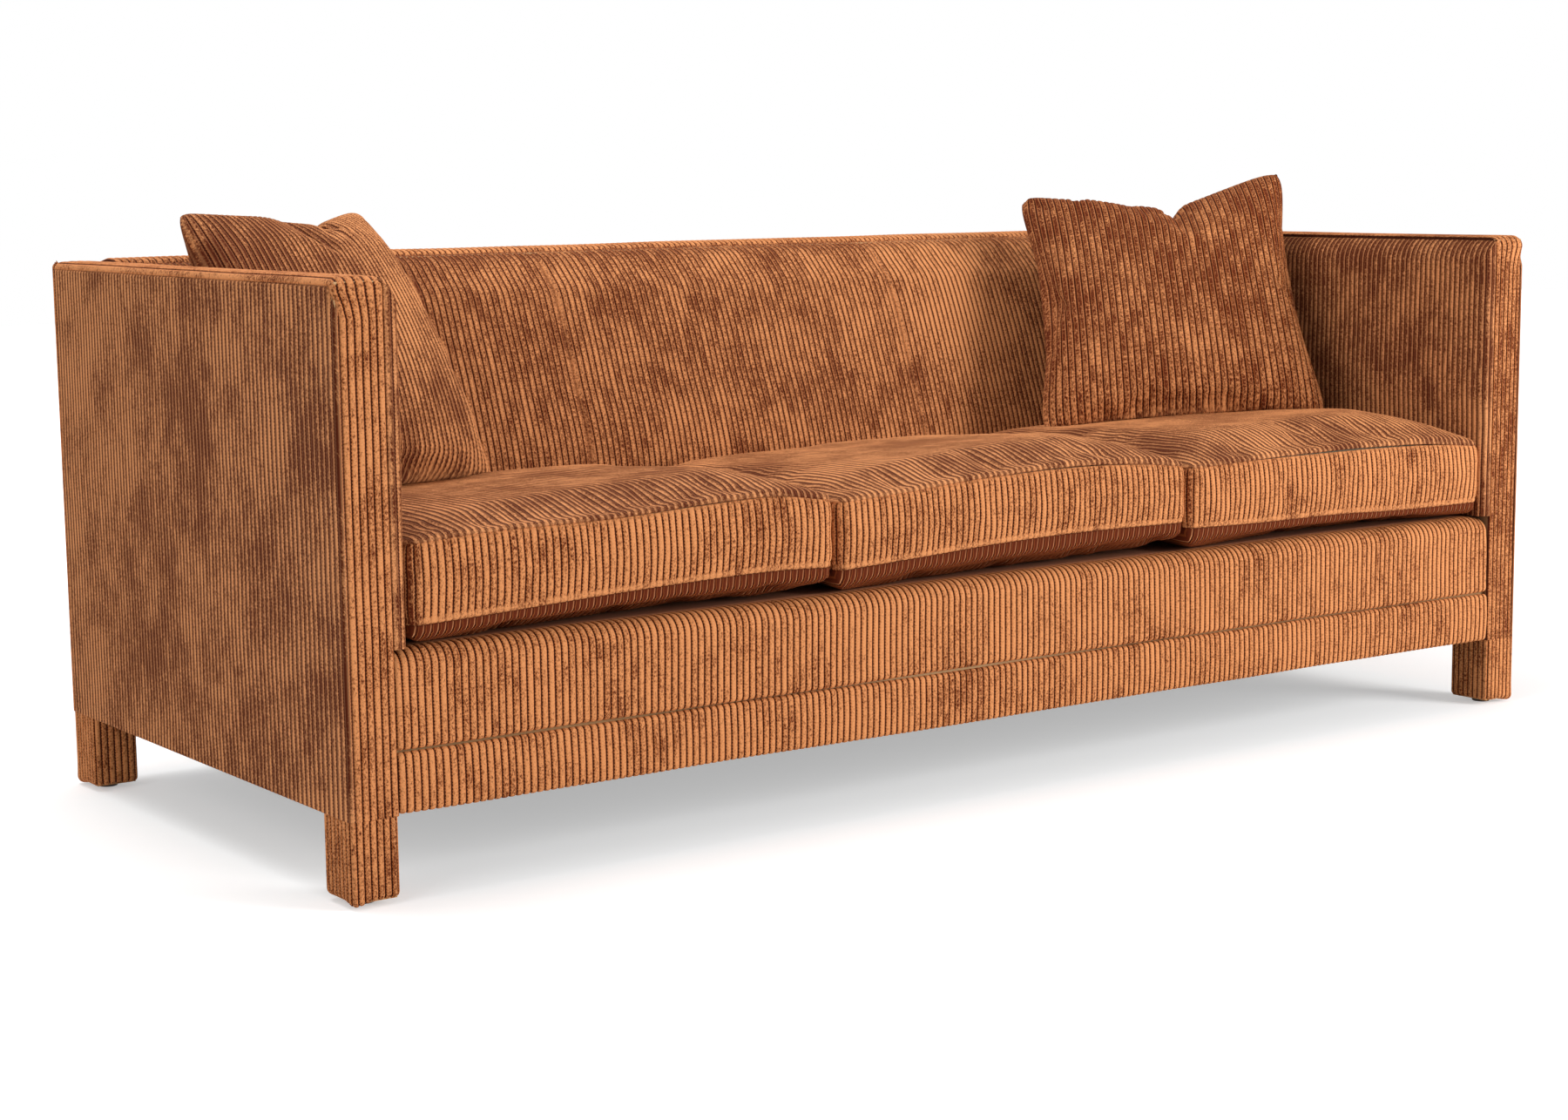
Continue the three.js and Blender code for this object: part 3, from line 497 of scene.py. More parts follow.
@dataclass
class PlainSheet:
    """A smooth sheet or slab with a thickness, on an even grid."""

    across: Array
    along: Array
    surface: Surface
    inside: Spot
    thickness: float

    def add_to(self, cloth: Cloth) -> None:
        """Works the sheet out and adds it to a piece."""
        across, along = np.meshgrid(self.across, self.along)
        outer = self.surface(across, along)
        normals = grid_normals(outer)
        outward = float((normals * (outer - np.array(self.inside))).sum()) > 0
        normals = normals if outward else -normals
        inner = outer - normals * self.thickness
        faces, twins = shell(outer, inner, 1, False, outward)
        coords = np.stack([across, along], -1).reshape(-1, 2)
        points = np.concatenate([outer.reshape(-1, 3), inner.reshape(-1, 3)])
        cloth.add(points, faces, np.concatenate([coords, coords]), twins)


# The share of each sine in the unevenness, its turns per metre along x and along y, and the seed's part
SWELLS = ((1.0, 9.3, 4.1, 1.0), (0.7, -6.2, 13.7, 1.9), (0.5, 21.0, 8.4, 2.7), (0.35, -17.0, 27.0, 3.3))


def waves(x: Array, y: Array, seed: float, height: float) -> Array:
    """Gentle unevenness: a sum of sines of a x + b y + c seed with different directions, as in SWELLS.

    Args:
        x: Metres one way.
        y: Metres the other way.
        seed: Where the sines start.
        height: The greatest height of their sum.

    Returns:
        The height at each place.
    """
    total = sum(share * np.sin(a * x + b * y + c * seed) for share, a, b, c in SWELLS)
    return height * total / sum(row[0] for row in SWELLS)


# Shader groups and finishes


def colour(hex_code: str) -> tuple[float, float, float, float]:
    """A colour for a shader socket from its usual hex code: each part is turned linear."""
    parts = [int(hex_code[i : i + 2], 16) / 255 for i in (0, 2, 4)]
    linear = [part / 12.92 if part <= 0.04045 else ((part + 0.055) / 1.055) ** 2.4 for part in parts]
    return (*linear, 1.0)


@dataclass
class Nodes:
    """Short ways to add and join shader nodes in one tree."""

    tree: bpy.types.NodeTree

    def add(self, kind: str, **values: object) -> bpy.types.Node:
        """A node of a kind. Values set properties, or input sockets by number as _0, _1 and so on."""
        node = self.tree.nodes.new(kind)
        for name, value in values.items():
            if name.startswith("_"):
                self.feed(node.inputs[int(name[1:])], value)
            else:
                setattr(node, name, value)
        return node

    def feed(self, socket: Socket, value: object) -> None:
        """Joins another socket to this one, or sets its value."""
        if isinstance(value, Socket):
            self.tree.links.new(value, socket)
        else:
            socket.default_value = value

    def math(self, operation: str, *values: object, clamp: bool = False) -> Socket:
        """The result of a math node."""
        node = self.add("ShaderNodeMath", operation=operation, use_clamp=clamp)
        for socket, value in zip(node.inputs, values):
            self.feed(socket, value)
        return node.outputs[0]

    def times(self, first: object, second: object, clamp: bool = False) -> Socket:
        """The product of two values."""
        return self.math("MULTIPLY", first, second, clamp=clamp)

    def times_add(self, value: object, factor: object, extra: object, clamp: bool = False) -> Socket:
        """The value times a factor, plus an extra."""
        return self.math("MULTIPLY_ADD", value, factor, extra, clamp=clamp)

    def minus(self, first: object, second: object) -> Socket:
        """The first value less the second."""
        return self.math("SUBTRACT", first, second)

    def fill(self, node: bpy.types.Node, **values: object) -> None:
        """Feeds input sockets by name, with _ for each space."""
        for name, value in values.items():
            self.feed(node.inputs[name.replace("_", " ")], value)

    def bump(self, shader: bpy.types.Node, height: object, strength: float, distance: float) -> None:
        """Feeds a height to a shader's normal."""
        node = self.add("ShaderNodeBump")
        self.fill(node, Strength=strength, Distance=distance, Height=height)
        self.feed(shader.inputs["Normal"], node.outputs[0])

    def ramp(
        self, value: object, low: float, high: float, out_low: float = 0.0, out_high: float = 1.0
    ) -> Socket:
        """A smooth step of the value from low to high."""
        node = self.add("ShaderNodeMapRange", interpolation_type="SMOOTHSTEP")
        for socket, item in zip(node.inputs, (value, low, high, out_low, out_high)):
            self.feed(socket, item)
        return node.outputs[0]

    def mix(self, share: object, low: object, high: object) -> Socket:
        """A mix of two colours."""
        node = self.add("ShaderNodeMix", data_type="RGBA")
        self.feed(node.inputs[0], share)
        self.feed(node.inputs[6], low)
        self.feed(node.inputs[7], high)
        return node.outputs[2]

    def noise(self, vector: object, scale: float, detail: float = 2.0, roughness: float = 0.5) -> Socket:
        """The value of a noise texture at a place."""
        node = self.add("ShaderNodeTexNoise")
        self.fill(node, Vector=vector, Scale=scale, Detail=detail, Roughness=roughness)
        return node.outputs[0]

    @property
    def place(self) -> Socket:
        """The place on the piece in metres, from its object coordinates."""
        return self.add("ShaderNodeTexCoord").outputs["Object"]

    def vector(self, x: object, y: object, z: object) -> Socket:
        """A vector put together from three values."""
        node = self.add("ShaderNodeCombineXYZ")
        for socket, value in zip(node.inputs, (x, y, z)):
            self.feed(socket, value)
        return node.outputs[0]


def shader_group(
    name: str, inputs: list[tuple[str, str, object]], outputs: list[tuple[str, str]]
) -> tuple[bpy.types.NodeTree, Nodes, dict, bpy.types.Node]:
    """An empty shader group with named sockets.

    Args:
        name: The group's name.
        inputs: Names, socket types and starting values.
        outputs: Names and socket types.

    Returns:
        The tree, its node helper, its input sockets by name, and its output node.
    """
    tree = bpy.data.node_groups.new(name, "ShaderNodeTree")
    for label, kind, value in inputs:
        socket = tree.interface.new_socket(name=label, in_out="INPUT", socket_type=kind)
        if value is not None:
            socket.default_value = value
    for label, kind in outputs:
        tree.interface.new_socket(name=label, in_out="OUTPUT", socket_type=kind)
    nodes = Nodes(tree)
    source = nodes.add("NodeGroupInput")
    sink = nodes.add("NodeGroupOutput")
    return tree, nodes, {socket.name: socket for socket in source.outputs}, sink


FULL_TURN = 2 * math.pi
FLOAT = "NodeSocketFloat"
VECTOR = "NodeSocketVector"


def rib_group() -> bpy.types.NodeTree:
    """Masks of the ribbed cloth from its rib coordinates.

    The first coordinate counts ribs and the second is metres along them. Groove is 1 in the groove
    between two ribs, ragged by the loops of the yarn; Rim is 1 on the raised edges of a rib, for a painted
    highlight; Edge is a thin line on one edge only, for painted highlight lines; Side goes from -1 to 1
    across a rib, for painted light and shade on its flanks; Rib is a random number for each.
    """
    tree, nodes, source, sink = shader_group(
        "rib_masks",
        [("Coords", VECTOR, None), ("Strength", FLOAT, 1.0), ("Loop", FLOAT, 0.0046)],
        [(label, FLOAT) for label in ("Groove", "Rim", "Edge", "Side", "Rib", "Loops")],
    )
    split = nodes.add("ShaderNodeSeparateXYZ", _0=source["Coords"])
    count, along = split.outputs[0], split.outputs[1]
    rib = nodes.math("FLOOR", count)
    phase = nodes.math("FRACT", count)
    offset = nodes.times(nodes.math("ABSOLUTE", nodes.minus(phase, 0.5)), 2.0)
    random = nodes.add("ShaderNodeTexWhiteNoise", noise_dimensions="1D")
    nodes.feed(random.inputs["W"], rib)
    # the loops of yarn along the rib: a sine that each rib starts at its own place
    start = nodes.times(random.outputs[0], 40.0)
    turn = nodes.times_add(nodes.math("DIVIDE", along, source["Loop"]), FULL_TURN, start)
    loops = nodes.times_add(nodes.math("SINE", turn), 0.5, 0.5)
    place = nodes.vector(nodes.times(count, 2.6), nodes.times(along, 240.0), 0.0)
    rough = nodes.noise(place, 1.0, 3.0, 0.65)
    ragged = nodes.times_add(nodes.minus(rough, 0.5), 0.32, offset)
    ragged = nodes.times_add(nodes.minus(loops, 0.5), 0.14, ragged)
    groove = nodes.times(nodes.ramp(ragged, 0.66, 0.84), source["Strength"])
    rim = nodes.times(nodes.ramp(ragged, 0.42, 0.6), nodes.ramp(ragged, 0.66, 0.78, 1.0, 0.0))
    edge = nodes.times(nodes.ramp(phase, 0.72, 0.8), nodes.ramp(phase, 0.86, 0.93, 1.0, 0.0))
    rim, edge = nodes.times(rim, source["Strength"]), nodes.times(edge, source["Strength"])
    side = nodes.math("SINE", nodes.times(phase, FULL_TURN))
    nodes.fill(sink, Groove=groove, Rim=rim, Edge=edge, Side=side, Rib=random.outputs[0], Loops=loops)
    return tree


def pile_group() -> bpy.types.NodeTree:
    """The pile's tone, from the rib coordinates, the rib's random number and the painted light and shade.

    Tone is 0 where the pile is dark and 1 where it is light. It comes from wide zones, from streaks that
    differ from rib to rib and from fine specks, all at random, raised or lowered by the painted light and
    shade. Blotch deepens the zones. Level is the same before the painted light and shade, and Tuft is the
    fine grain of the pile.
    """
    tree, nodes, source, sink = shader_group(
        "pile_lay",
        [("Coords", VECTOR, None), ("Rib", FLOAT, 0.0), ("Nap", FLOAT, 0.0), ("Blotch", FLOAT, 0.0)],
        [("Tone", FLOAT), ("Level", FLOAT), ("Tuft", FLOAT)],
    )
    split = nodes.add("ShaderNodeSeparateXYZ", _0=source["Coords"])
    count, along = split.outputs[0], split.outputs[1]
    shifted = nodes.times_add(source["Rib"], 0.06, along)
    whole = nodes.math("FLOOR", count)

    def field_of(
        across: object, rate: float, way: object, pace: float, layer: float, detail: float, rough: float
    ) -> Socket:
        """Noise that changes at one rate from rib to rib and at another along the rib."""
        place = nodes.vector(nodes.times(across, rate), nodes.times(way, pace), layer)
        return nodes.noise(place, 1.0, detail, rough)

    zone = field_of(count, 0.08, along, 6.0, 4.0, 5.0, 0.68)
    streak = field_of(whole, 0.7, shifted, 16.0, 0.0, 4.0, 0.65)
    speck = field_of(count, 3.4, along, 230.0, 8.0, 3.0, 0.75)
    level = nodes.times_add(streak, 0.27, nodes.times(zone, 0.22))
    patch = nodes.times(nodes.minus(zone, 0.5), source["Blotch"])
    level = nodes.times_add(patch, 0.28, level)
    level = nodes.times_add(speck, 0.51, level)
    # the painted light and shade lift or lower the random level
    painted_lift = nodes.times_add(source["Nap"], 0.075, level)
    tuft = field_of(count, 9.0, along, 800.0, 2.0, 2.0, 0.7)
    nodes.fill(sink, Level=level, Tone=nodes.ramp(painted_lift, 0.41, 0.55), Tuft=tuft)
    return tree


def grain_group() -> bpy.types.NodeTree:
    """Long streaks with cross waves, for wood and pressed board, from a place in metres."""
    tree, nodes, source, sink = shader_group(
        "long_grain",
        [("Place", VECTOR, None), ("Stretch", FLOAT, 14.0), ("Fineness", FLOAT, 60.0)],
        [("Grain", FLOAT), ("Pores", FLOAT)],
    )
    split = nodes.add("ShaderNodeSeparateXYZ", _0=source["Place"])
    slow = nodes.math("DIVIDE", split.outputs[0], source["Stretch"])
    place = nodes.vector(slow, split.outputs[1], split.outputs[2])
    warp = nodes.noise(place, 6.0, 2.0)
    lines = nodes.times_add(warp, 9.0, nodes.times(split.outputs[1], source["Fineness"]))
    rings = nodes.times_add(nodes.math("SINE", nodes.times(lines, 3.1)), 0.5, 0.5)
    pores = nodes.noise(nodes.vector(nodes.times(slow, 40.0), split.outputs[1], split.outputs[2]), 260.0, 2.0)
    nodes.fill(sink, Grain=rings, Pores=pores)
    return tree


def weave_group() -> bpy.types.NodeTree:
    """Plain weave from a place in metres: threads over and under, as the product of two sines."""
    tree, nodes, source, sink = shader_group(
        "plain_weave",
        [("Place", VECTOR, None), ("Thread", FLOAT, 0.0012)],
        [("Weave", FLOAT), ("Soil", FLOAT)],
    )
    split = nodes.add("ShaderNodeSeparateXYZ", _0=source["Place"])
    x, y, z = split.outputs
    turns = nodes.math("DIVIDE", FULL_TURN / 2, source["Thread"])
    warp = nodes.math("SINE", nodes.times(nodes.math("ADD", x, z), turns))
    weft = nodes.math("SINE", nodes.times(nodes.math("ADD", y, z), turns))
    crossed = nodes.times_add(nodes.times(warp, weft), 0.5, 0.5)
    nodes.fill(sink, Weave=crossed, Soil=nodes.noise(source["Place"], 14.0, 4.0))
    return tree


GROUPS: dict[str, bpy.types.NodeTree] = {}


def group_node(nodes: Nodes, maker: Callable[[], bpy.types.NodeTree], **values: object) -> bpy.types.Node:
    """A node of a shared group, which is made at its first use."""
    if maker.__name__ not in GROUPS:
        GROUPS[maker.__name__] = maker()
    node = nodes.add("ShaderNodeGroup", node_tree=GROUPS[maker.__name__])
    nodes.fill(node, **values)
    return node


def new_material(name: str) -> tuple[bpy.types.Material, Nodes, bpy.types.Node]:
    """A material with its node helper and its Principled BSDF."""
    material = bpy.data.materials.new(name)
    material.use_nodes = True
    shader = material.node_tree.nodes["Principled BSDF"]
    return material, Nodes(material.node_tree), shader


@dataclass(frozen=True)
class RibbedChenille:
    """The sofa's rust ribbed cloth: dark ragged grooves deepened by painted shade, painted highlights on the
    rib edges, pile toned at random and by painted light and shade.
    """

    name: str = "ribbed_chenille"
    dark: str = "5a220b"
    light: str = "dd935c"
    # the grooves' colour: the darker ground between the ribs, deepened by painted shade
    groove: str = "451a0a"
    # painted highlight along both edges of each rib
    rim: str = "d2763a"
    # the colour of painted highlights: lines on the rib edges, streaks and lit flanks
    edge: str = "e3a672"
    sheen: str = "e89254"
    rim_highlight_share: float = 0.5
    grain: float = 0.3

    def build(self) -> bpy.types.Material:
        """The material, read from the UV map Ribs and the attribute pile."""
        material, nodes, shader = new_material(self.name)
        coords = nodes.add("ShaderNodeUVMap", uv_map="Ribs").outputs[0]
        lie = nodes.add("ShaderNodeAttribute", attribute_name="pile").outputs["Vector"]
        lain = nodes.add("ShaderNodeSeparateXYZ", _0=lie)
        # painted light and shade, painted light and shade on the ribs' flanks, and the ribs' strength
        nap, lean, strength = lain.outputs
        ribs = group_node(nodes, rib_group, Coords=coords, Strength=strength)
        pile = group_node(nodes, pile_group, Coords=coords, Rib=ribs.outputs["Rib"], Nap=nap, Blotch=lean)
        tone, level = pile.outputs["Tone"], pile.outputs["Level"]
        base = nodes.mix(tone, colour(self.dark), colour(self.light))
        speck = nodes.times(nodes.ramp(pile.outputs["Tuft"], 0.42, 0.68), self.grain)
        grained = nodes.mix(speck, base, colour(self.dark))
        # painted highlight along both edges of each rib
        rim = nodes.times(ribs.outputs["Rim"], self.rim_highlight_share)
        rimmed = nodes.mix(rim, grained, colour(self.rim))
        # thin painted highlight lines on one rib edge where the painted shade is deep, as on the belly, and
        # painted highlight streaks where the painted light is strong
        dull = nodes.times(nodes.times(nap, -0.3, clamp=True), ribs.outputs["Edge"])
        painted_lift = nodes.times(nodes.times_add(nap, 0.9, -0.5, clamp=True), nodes.ramp(level, 0.44, 0.56))
        edged = nodes.mix(nodes.math("MAXIMUM", dull, painted_lift), rimmed, colour(self.edge))
        # painted light on each rib's near flank and painted shade on its far flank
        slope = nodes.times(lean, ribs.outputs["Side"])
        lit = nodes.mix(nodes.times(slope, 0.3, clamp=True), edged, colour(self.edge))
        shaded = nodes.mix(nodes.times(slope, -0.8, clamp=True), lit, colour(self.groove))
        # the grooves: the darker ground between the ribs, deepened by painted shade
        painted = nodes.mix(nodes.times(ribs.outputs["Groove"], 0.97), shaded, colour(self.groove))
        nodes.fill(shader, Base_Color=painted, Roughness=nodes.ramp(tone, 0.0, 1.0, 0.95, 0.78))
        height = nodes.times_add(pile.outputs["Tuft"], 0.6, nodes.times(ribs.outputs["Loops"], 0.5))
        height = nodes.minus(height, nodes.times(ribs.outputs["Groove"], 0.8))
        nodes.bump(shader, height, 0.5, 0.0009)
        nodes.fill(shader, Specular_IOR_Level=0.15, Sheen_Weight=0.22, Sheen_Roughness=0.3)
        nodes.fill(shader, Sheen_Tint=colour(self.sheen))
        return material


@dataclass(frozen=True)
class SawnWood:
    """Sawn hardwood of the frame, with its grain along X."""

    name: str
    early: str = "c79a66"
    late: str = "9c6f42"
    pore: str = "6b4426"
    upright: bool = False

    def build(self) -> bpy.types.Material:
        """The material, read from object coordinates."""
        material, nodes, shader = new_material(self.name)
        place = nodes.place
        if self.upright:
            split = nodes.add("ShaderNodeSeparateXYZ", _0=place)
            place = nodes.vector(split.outputs[2], split.outputs[0], split.outputs[1])
        grain = group_node(nodes, grain_group, Place=place)
        ringed = nodes.mix(nodes.times(grain.outputs["Grain"], 0.6), colour(self.early), colour(self.late))
        pored = nodes.mix(nodes.ramp(grain.outputs["Pores"], 0.62, 0.74, 0.0, 0.5), ringed, colour(self.pore))
        rough = nodes.ramp(grain.outputs["Grain"], 0.0, 1.0, 0.62, 0.8)
        nodes.fill(shader, Base_Color=pored, Roughness=rough)
        nodes.bump(shader, grain.outputs["Pores"], 0.3, 0.0004)
        return material


@dataclass(frozen=True)
class WovenCloth:
    """A plain woven cloth: deck cloth, dust cover, pillow ticking or zip tape."""

    name: str
    thread_colour: str
    shade: str
    thread: float = 0.0012
    roughness: float = 0.9

    def build(self) -> bpy.types.Material:
        """The material, read from object coordinates."""
        material, nodes, shader = new_material(self.name)
        place = nodes.place
        weave = group_node(nodes, weave_group, Place=place, Thread=self.thread)
        share = nodes.times_add(weave.outputs["Soil"], 0.5, nodes.times(weave.outputs["Weave"], 0.45))
        rough = nodes.ramp(weave.outputs["Soil"], 0.2, 0.8, self.roughness, self.roughness - 0.12)
        woven = nodes.mix(share, colour(self.shade), colour(self.thread_colour))
        nodes.fill(shader, Base_Color=woven, Roughness=rough)
        nodes.bump(shader, weave.outputs["Weave"], 0.4, 0.0005)
        return material


@dataclass(frozen=True)
class OpenFoam:
    """Cut upholstery foam with open cells."""

    name: str = "open_foam"
    wall: str = "ece2c4"
    cell: str = "c9bb92"
    cells_per_metre: float = 700.0

    def build(self) -> bpy.types.Material:
        """The material, read from object coordinates."""
        material, nodes, shader = new_material(self.name)
        place = nodes.place
        cells = nodes.add("ShaderNodeTexVoronoi")
        nodes.fill(cells, Vector=place, Scale=self.cells_per_metre)
        # the cells' hollows are painted darker, as shade
        depth = nodes.ramp(cells.outputs["Distance"], 0.1, 0.6)
        nodes.fill(shader, Base_Color=nodes.mix(depth, colour(self.cell), colour(self.wall)))
        nodes.fill(shader, Roughness=nodes.ramp(depth, 0.0, 1.0, 1.0, 0.9))
        nodes.bump(shader, depth, 0.5, 0.0006)
        return material


@dataclass(frozen=True)
class WornMetal:
    """Drawn wire or plated brass, with fine scratches and a duller film."""

    name: str
    bright: str
    dull: str
    roughness: float

    def build(self) -> bpy.types.Material:
        """The material, read from object coordinates."""
        material, nodes, shader = new_material(self.name)
        place = nodes.place
        film = nodes.noise(place, 60.0, 4.0)
        scratch = nodes.noise(place, 1500.0, 2.0)
        darkened = nodes.mix(nodes.ramp(film, 0.35, 0.65), colour(self.bright), colour(self.dull))
        rough = nodes.ramp(scratch, 0.3, 0.7, self.roughness, self.roughness + 0.2)
        nodes.fill(shader, Base_Color=darkened, Roughness=rough, Metallic=1.0)
        return material


@dataclass(frozen=True)
class MouldedNylon:
    """Moulded nylon with a faint grain."""

    name: str
    body: str
    scuff: str

    def build(self) -> bpy.types.Material:
        """The material, read from object coordinates."""
        material, nodes, shader = new_material(self.name)
        place = nodes.place
        grain = nodes.noise(place, 900.0, 3.0)
        scuffs = nodes.ramp(nodes.noise(place, 90.0, 4.0), 0.58, 0.72)
        nodes.fill(shader, Base_Color=nodes.mix(scuffs, colour(self.body), colour(self.scuff)))
        nodes.fill(shader, Roughness=nodes.ramp(grain, 0.3, 0.7, 0.42, 0.6))
        nodes.bump(shader, grain, 0.2, 0.0002)
        return material


class Slot(Enum):
    """The record's material slots."""

    FABRIC = "ribbed_fabric"
    WOOD = "frame_wood"
    BOARD = "hardboard"
    FOAM = "foam"
    FEATHER = "feather"
    DECK = "deck_cloth"
    CAMBRIC = "cambric"
    STEEL = "spring_steel"
    NYLON = "nylon"
    BRASS = "zip_brass"


def finishes() -> dict[Slot, bpy.types.Material]:
    """Every finish, by the slot that it stands for."""
    makers = {
        Slot.FABRIC: RibbedChenille(),
        Slot.WOOD: SawnWood("sawn_wood"),
        Slot.BOARD: SawnWood("pressed_board", early="8a6440", late="7a5434"),
        Slot.FOAM: OpenFoam(),
        Slot.FEATHER: WovenCloth("down_ticking", "f4f1e8", "ddd8ca", thread=0.0006),
        Slot.DECK: WovenCloth("deck_cloth", "9a5c36", "6b3c20", thread=0.0014),
        Slot.CAMBRIC: WovenCloth("cambric", "2a2826", "131211", thread=0.0009),
        Slot.STEEL: WornMetal("spring_wire", "9a9da0", "6c6a66", 0.34),
        Slot.NYLON: MouldedNylon("moulded_nylon", "3a2c22", "6a594c"),
        Slot.BRASS: WornMetal("antique_brass", "a27c43", "5e4526", 0.32),
    }
    return {slot: maker.build() for slot, maker in makers.items()}


@dataclass
class Workshop:
    """Dresses finished pieces: material, body, slot and the CAD nodes that each stands for."""

    materials: dict[Slot, bpy.types.Material]

    def dress(self, piece: bpy.types.Object, slot: Slot, body: str, *nodes: str) -> bpy.types.Object:
        """Gives a new piece its material, body and slot.

        Args:
            piece: The finished object.
            slot: The record's slot that it takes its finish from.
            body: The CAD body that it rides on.
            nodes: The CAD nodes that it stands for.

        Returns:
            The same object.
        """
        piece.data.materials.clear()
        piece.data.materials.append(self.materials[slot])
        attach(piece, body)
        if nodes:
            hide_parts(*nodes)
        log.info("%s: %d faces", piece.name, len(piece.data.polygons))
        return piece

    def cover(self, name: str, node: str, sheet: RibbedSheet) -> None:
        """Makes one ribbed panel of the sofa's body, in place of a CAD node."""
        cloth = Cloth()
        sheet.add_to(cloth)
        self.dress(cloth.build(name), Slot.FABRIC, "frame", node)

    def paint(self, node: str, slot: Slot) -> None:
        """Gives a CAD node that stays its material."""
        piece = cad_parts[node]
        piece.data.materials.clear()
        piece.data.materials.append(self.materials[slot])


# The upholstered body


@dataclass
class Arm:
    """One arm: the facing up its front and along its top, the outside panel and the inside pad."""

    side: Side
    seam_dip: float = 0.0009
    top_crown: float = 0.0025
    front_corner: float = 0.018
    wrap: float = 0.011
    # light or shade painted over the whole facing
    front_nap: float = 0.15
    slack: float = 0.25
    outer_relief: float = 0.0009
    inner_relief: float = 0.0010
    crown_from: float = 0.6
    wrap_from: float = 0.67
    tuck: float = 0.004
    tuck_from: float = 0.796
    roll: float = 0.046
    front_round: float = 0.016

    @property
    def heart(self) -> Spot:
        """A point within the arm, which its panels face away from."""
        return self.side.value * (ARM_INNER + HALF_WIDTH) / 2, 0.0, ARM_HEIGHT * 0.6

    @property
    def seam_x(self) -> float:
        """How far from the middle the outer seam runs."""
        return HALF_WIDTH - SEAM_INSET

    def facing(self, shop: Workshop) -> None:
        """The strip from the leg up the front, round the top corner and back along the top.

        Its line in Y and Z is carried across X. It swells by a crown between its seams and dips at them.
        Along the top it also wraps over the arm's outer edge, down to its seam with the outside panel.
        """
        line = rounded([
            (-HALF_DEPTH, LEG_HEIGHT, 0.0),
            (-HALF_DEPTH, ARM_HEIGHT, self.front_corner),
            (REAR_SEAM_Y, ARM_HEIGHT, 0.0),
        ])
        width = self.seam_x - ARM_INNER
        sign = self.side.value
        over = rounded([
            (ARM_INNER, 0.0, 0.0),
            (HALF_WIDTH, 0.0, self.wrap),
            (HALF_WIDTH, -self.wrap, 0.0),
        ])

        def surface(across: Array, along: Array) -> Array:
            """The strip's points: its line carried across, wrapped over the outer edge along the top."""
            place = line.at(along)
            normal = line.normal(along)
            share = across / width
            turned = unit((along - self.wrap_from) / 0.036)
            turned = turned * turned * (3 - 2 * turned)
            wrapped = over.at(share * over.length)
            crown = self.top_crown * 4 * share * (1 - share) * unit((along - self.crown_from) / 0.15)
            dip = self.seam_dip * (bell(across, 0.005) + bell(width - across, 0.004))
            dip = dip * unit(along / 0.03)
            sag = waves(along, across, 1.3 + sign, 0.0008)
            lift = (crown - dip + sag - STAND_OFF + turned * wrapped[..., 1])[..., None]
            point = place - normal * lift
            x = lerp(ARM_INNER + across, wrapped[..., 0] - 0.0008, turned)
            return np.stack([sign * x, point[..., 0], point[..., 1]], -1)

        ribs = Ribs(even_grooves(0, width, FACING_PITCH))
        seams = (Seam(line.length), Seam(width, across=True, width=0.003, depth=0.4))
        # the facing is painted lighter or darker as a whole
        sheet = RibbedSheet(
            ribs, line.rows(), surface, self.heart, seams, wander=0.0003, plot=1 + sign, nap=self.front_nap
        )
        shop.cover(f"arm_facing_cloth_{self.side.word}", f"arm_facing_{self.side.word}", sheet)

    def outside(self, shop: Workshop) -> None:
        """The outside panel: from its seam on the front, round the corner and back, with its top turned in.

        The line in plan is carried up Z; near the top it moves inwards along its normal by the rounding.
        The corner under the facing's turn is tucked in, from tuck_from up.
        """
        sign = self.side.value
        plan = rounded([
            (self.seam_x, -HALF_DEPTH, 0.0),
            (HALF_WIDTH, -HALF_DEPTH, EDGE_ROUND),
            (HALF_WIDTH, REAR_SEAM_Y, 0.0),
        ])
        rise = rounded([
            (0.0, LEG_HEIGHT, 0.0),
            (0.0, ARM_HEIGHT - self.wrap, 0.003),
            (0.0045, ARM_HEIGHT - self.wrap, 0.0),
        ])

        def surface(across: Array, along: Array) -> Array:
            """The panel's points: the plan carried up, its top turned in and its front corner rounded."""
            place = plan.at(across)
            normal = plan.normal(across)
            turn = rise.at(along)
            sag = waves(across, along, 5.0 + sign, 0.0016) * unit((rise.length - along) / 0.1)
            sag = sag * unit(across / 0.08) * unit(along / 0.05)
            inset = turn[..., 0] + STAND_OFF - sag
            dip = 0.0008 * (bell(across, 0.004) + bell(plan.length - across, 0.005)) * unit(along / 0.03)
            dip = dip + 0.0008 * bell(rise.length - along, 0.004)
            x = place[..., 0] - normal[..., 0] * (inset + dip)
            y = place[..., 1] - normal[..., 1] * (inset + dip)
            back = np.clip(self.front_corner - (y + HALF_DEPTH), 0, self.front_corner)
            level = ARM_HEIGHT - self.front_corner + np.sqrt(np.maximum(self.front_corner**2 - back**2, 0))
            z = LEG_HEIGHT + (turn[..., 1] - LEG_HEIGHT) * (level - LEG_HEIGHT) / (ARM_HEIGHT - LEG_HEIGHT)
            tuck = self.tuck * unit((z - self.tuck_from) / 0.016) * unit((0.022 - across) / 0.006)
            return np.stack([sign * (x - tuck), y + tuck, z], -1)

        def nap(across: Array, along: Array) -> Array:
            """Painted shade at the front corner, lighter towards the rear, and random tone zones between."""
            corner = 1.1 * bell(across - 0.006, 0.009) * unit((along - 0.03) / 0.03)
            zones = waves(across * 1.5, along * 1.1, 2.0 + sign, 0.5)
            return 0.8 * bell(plan.length - across - 0.05, 0.09) * unit(along / 0.5) - 0.25 - corner + zones

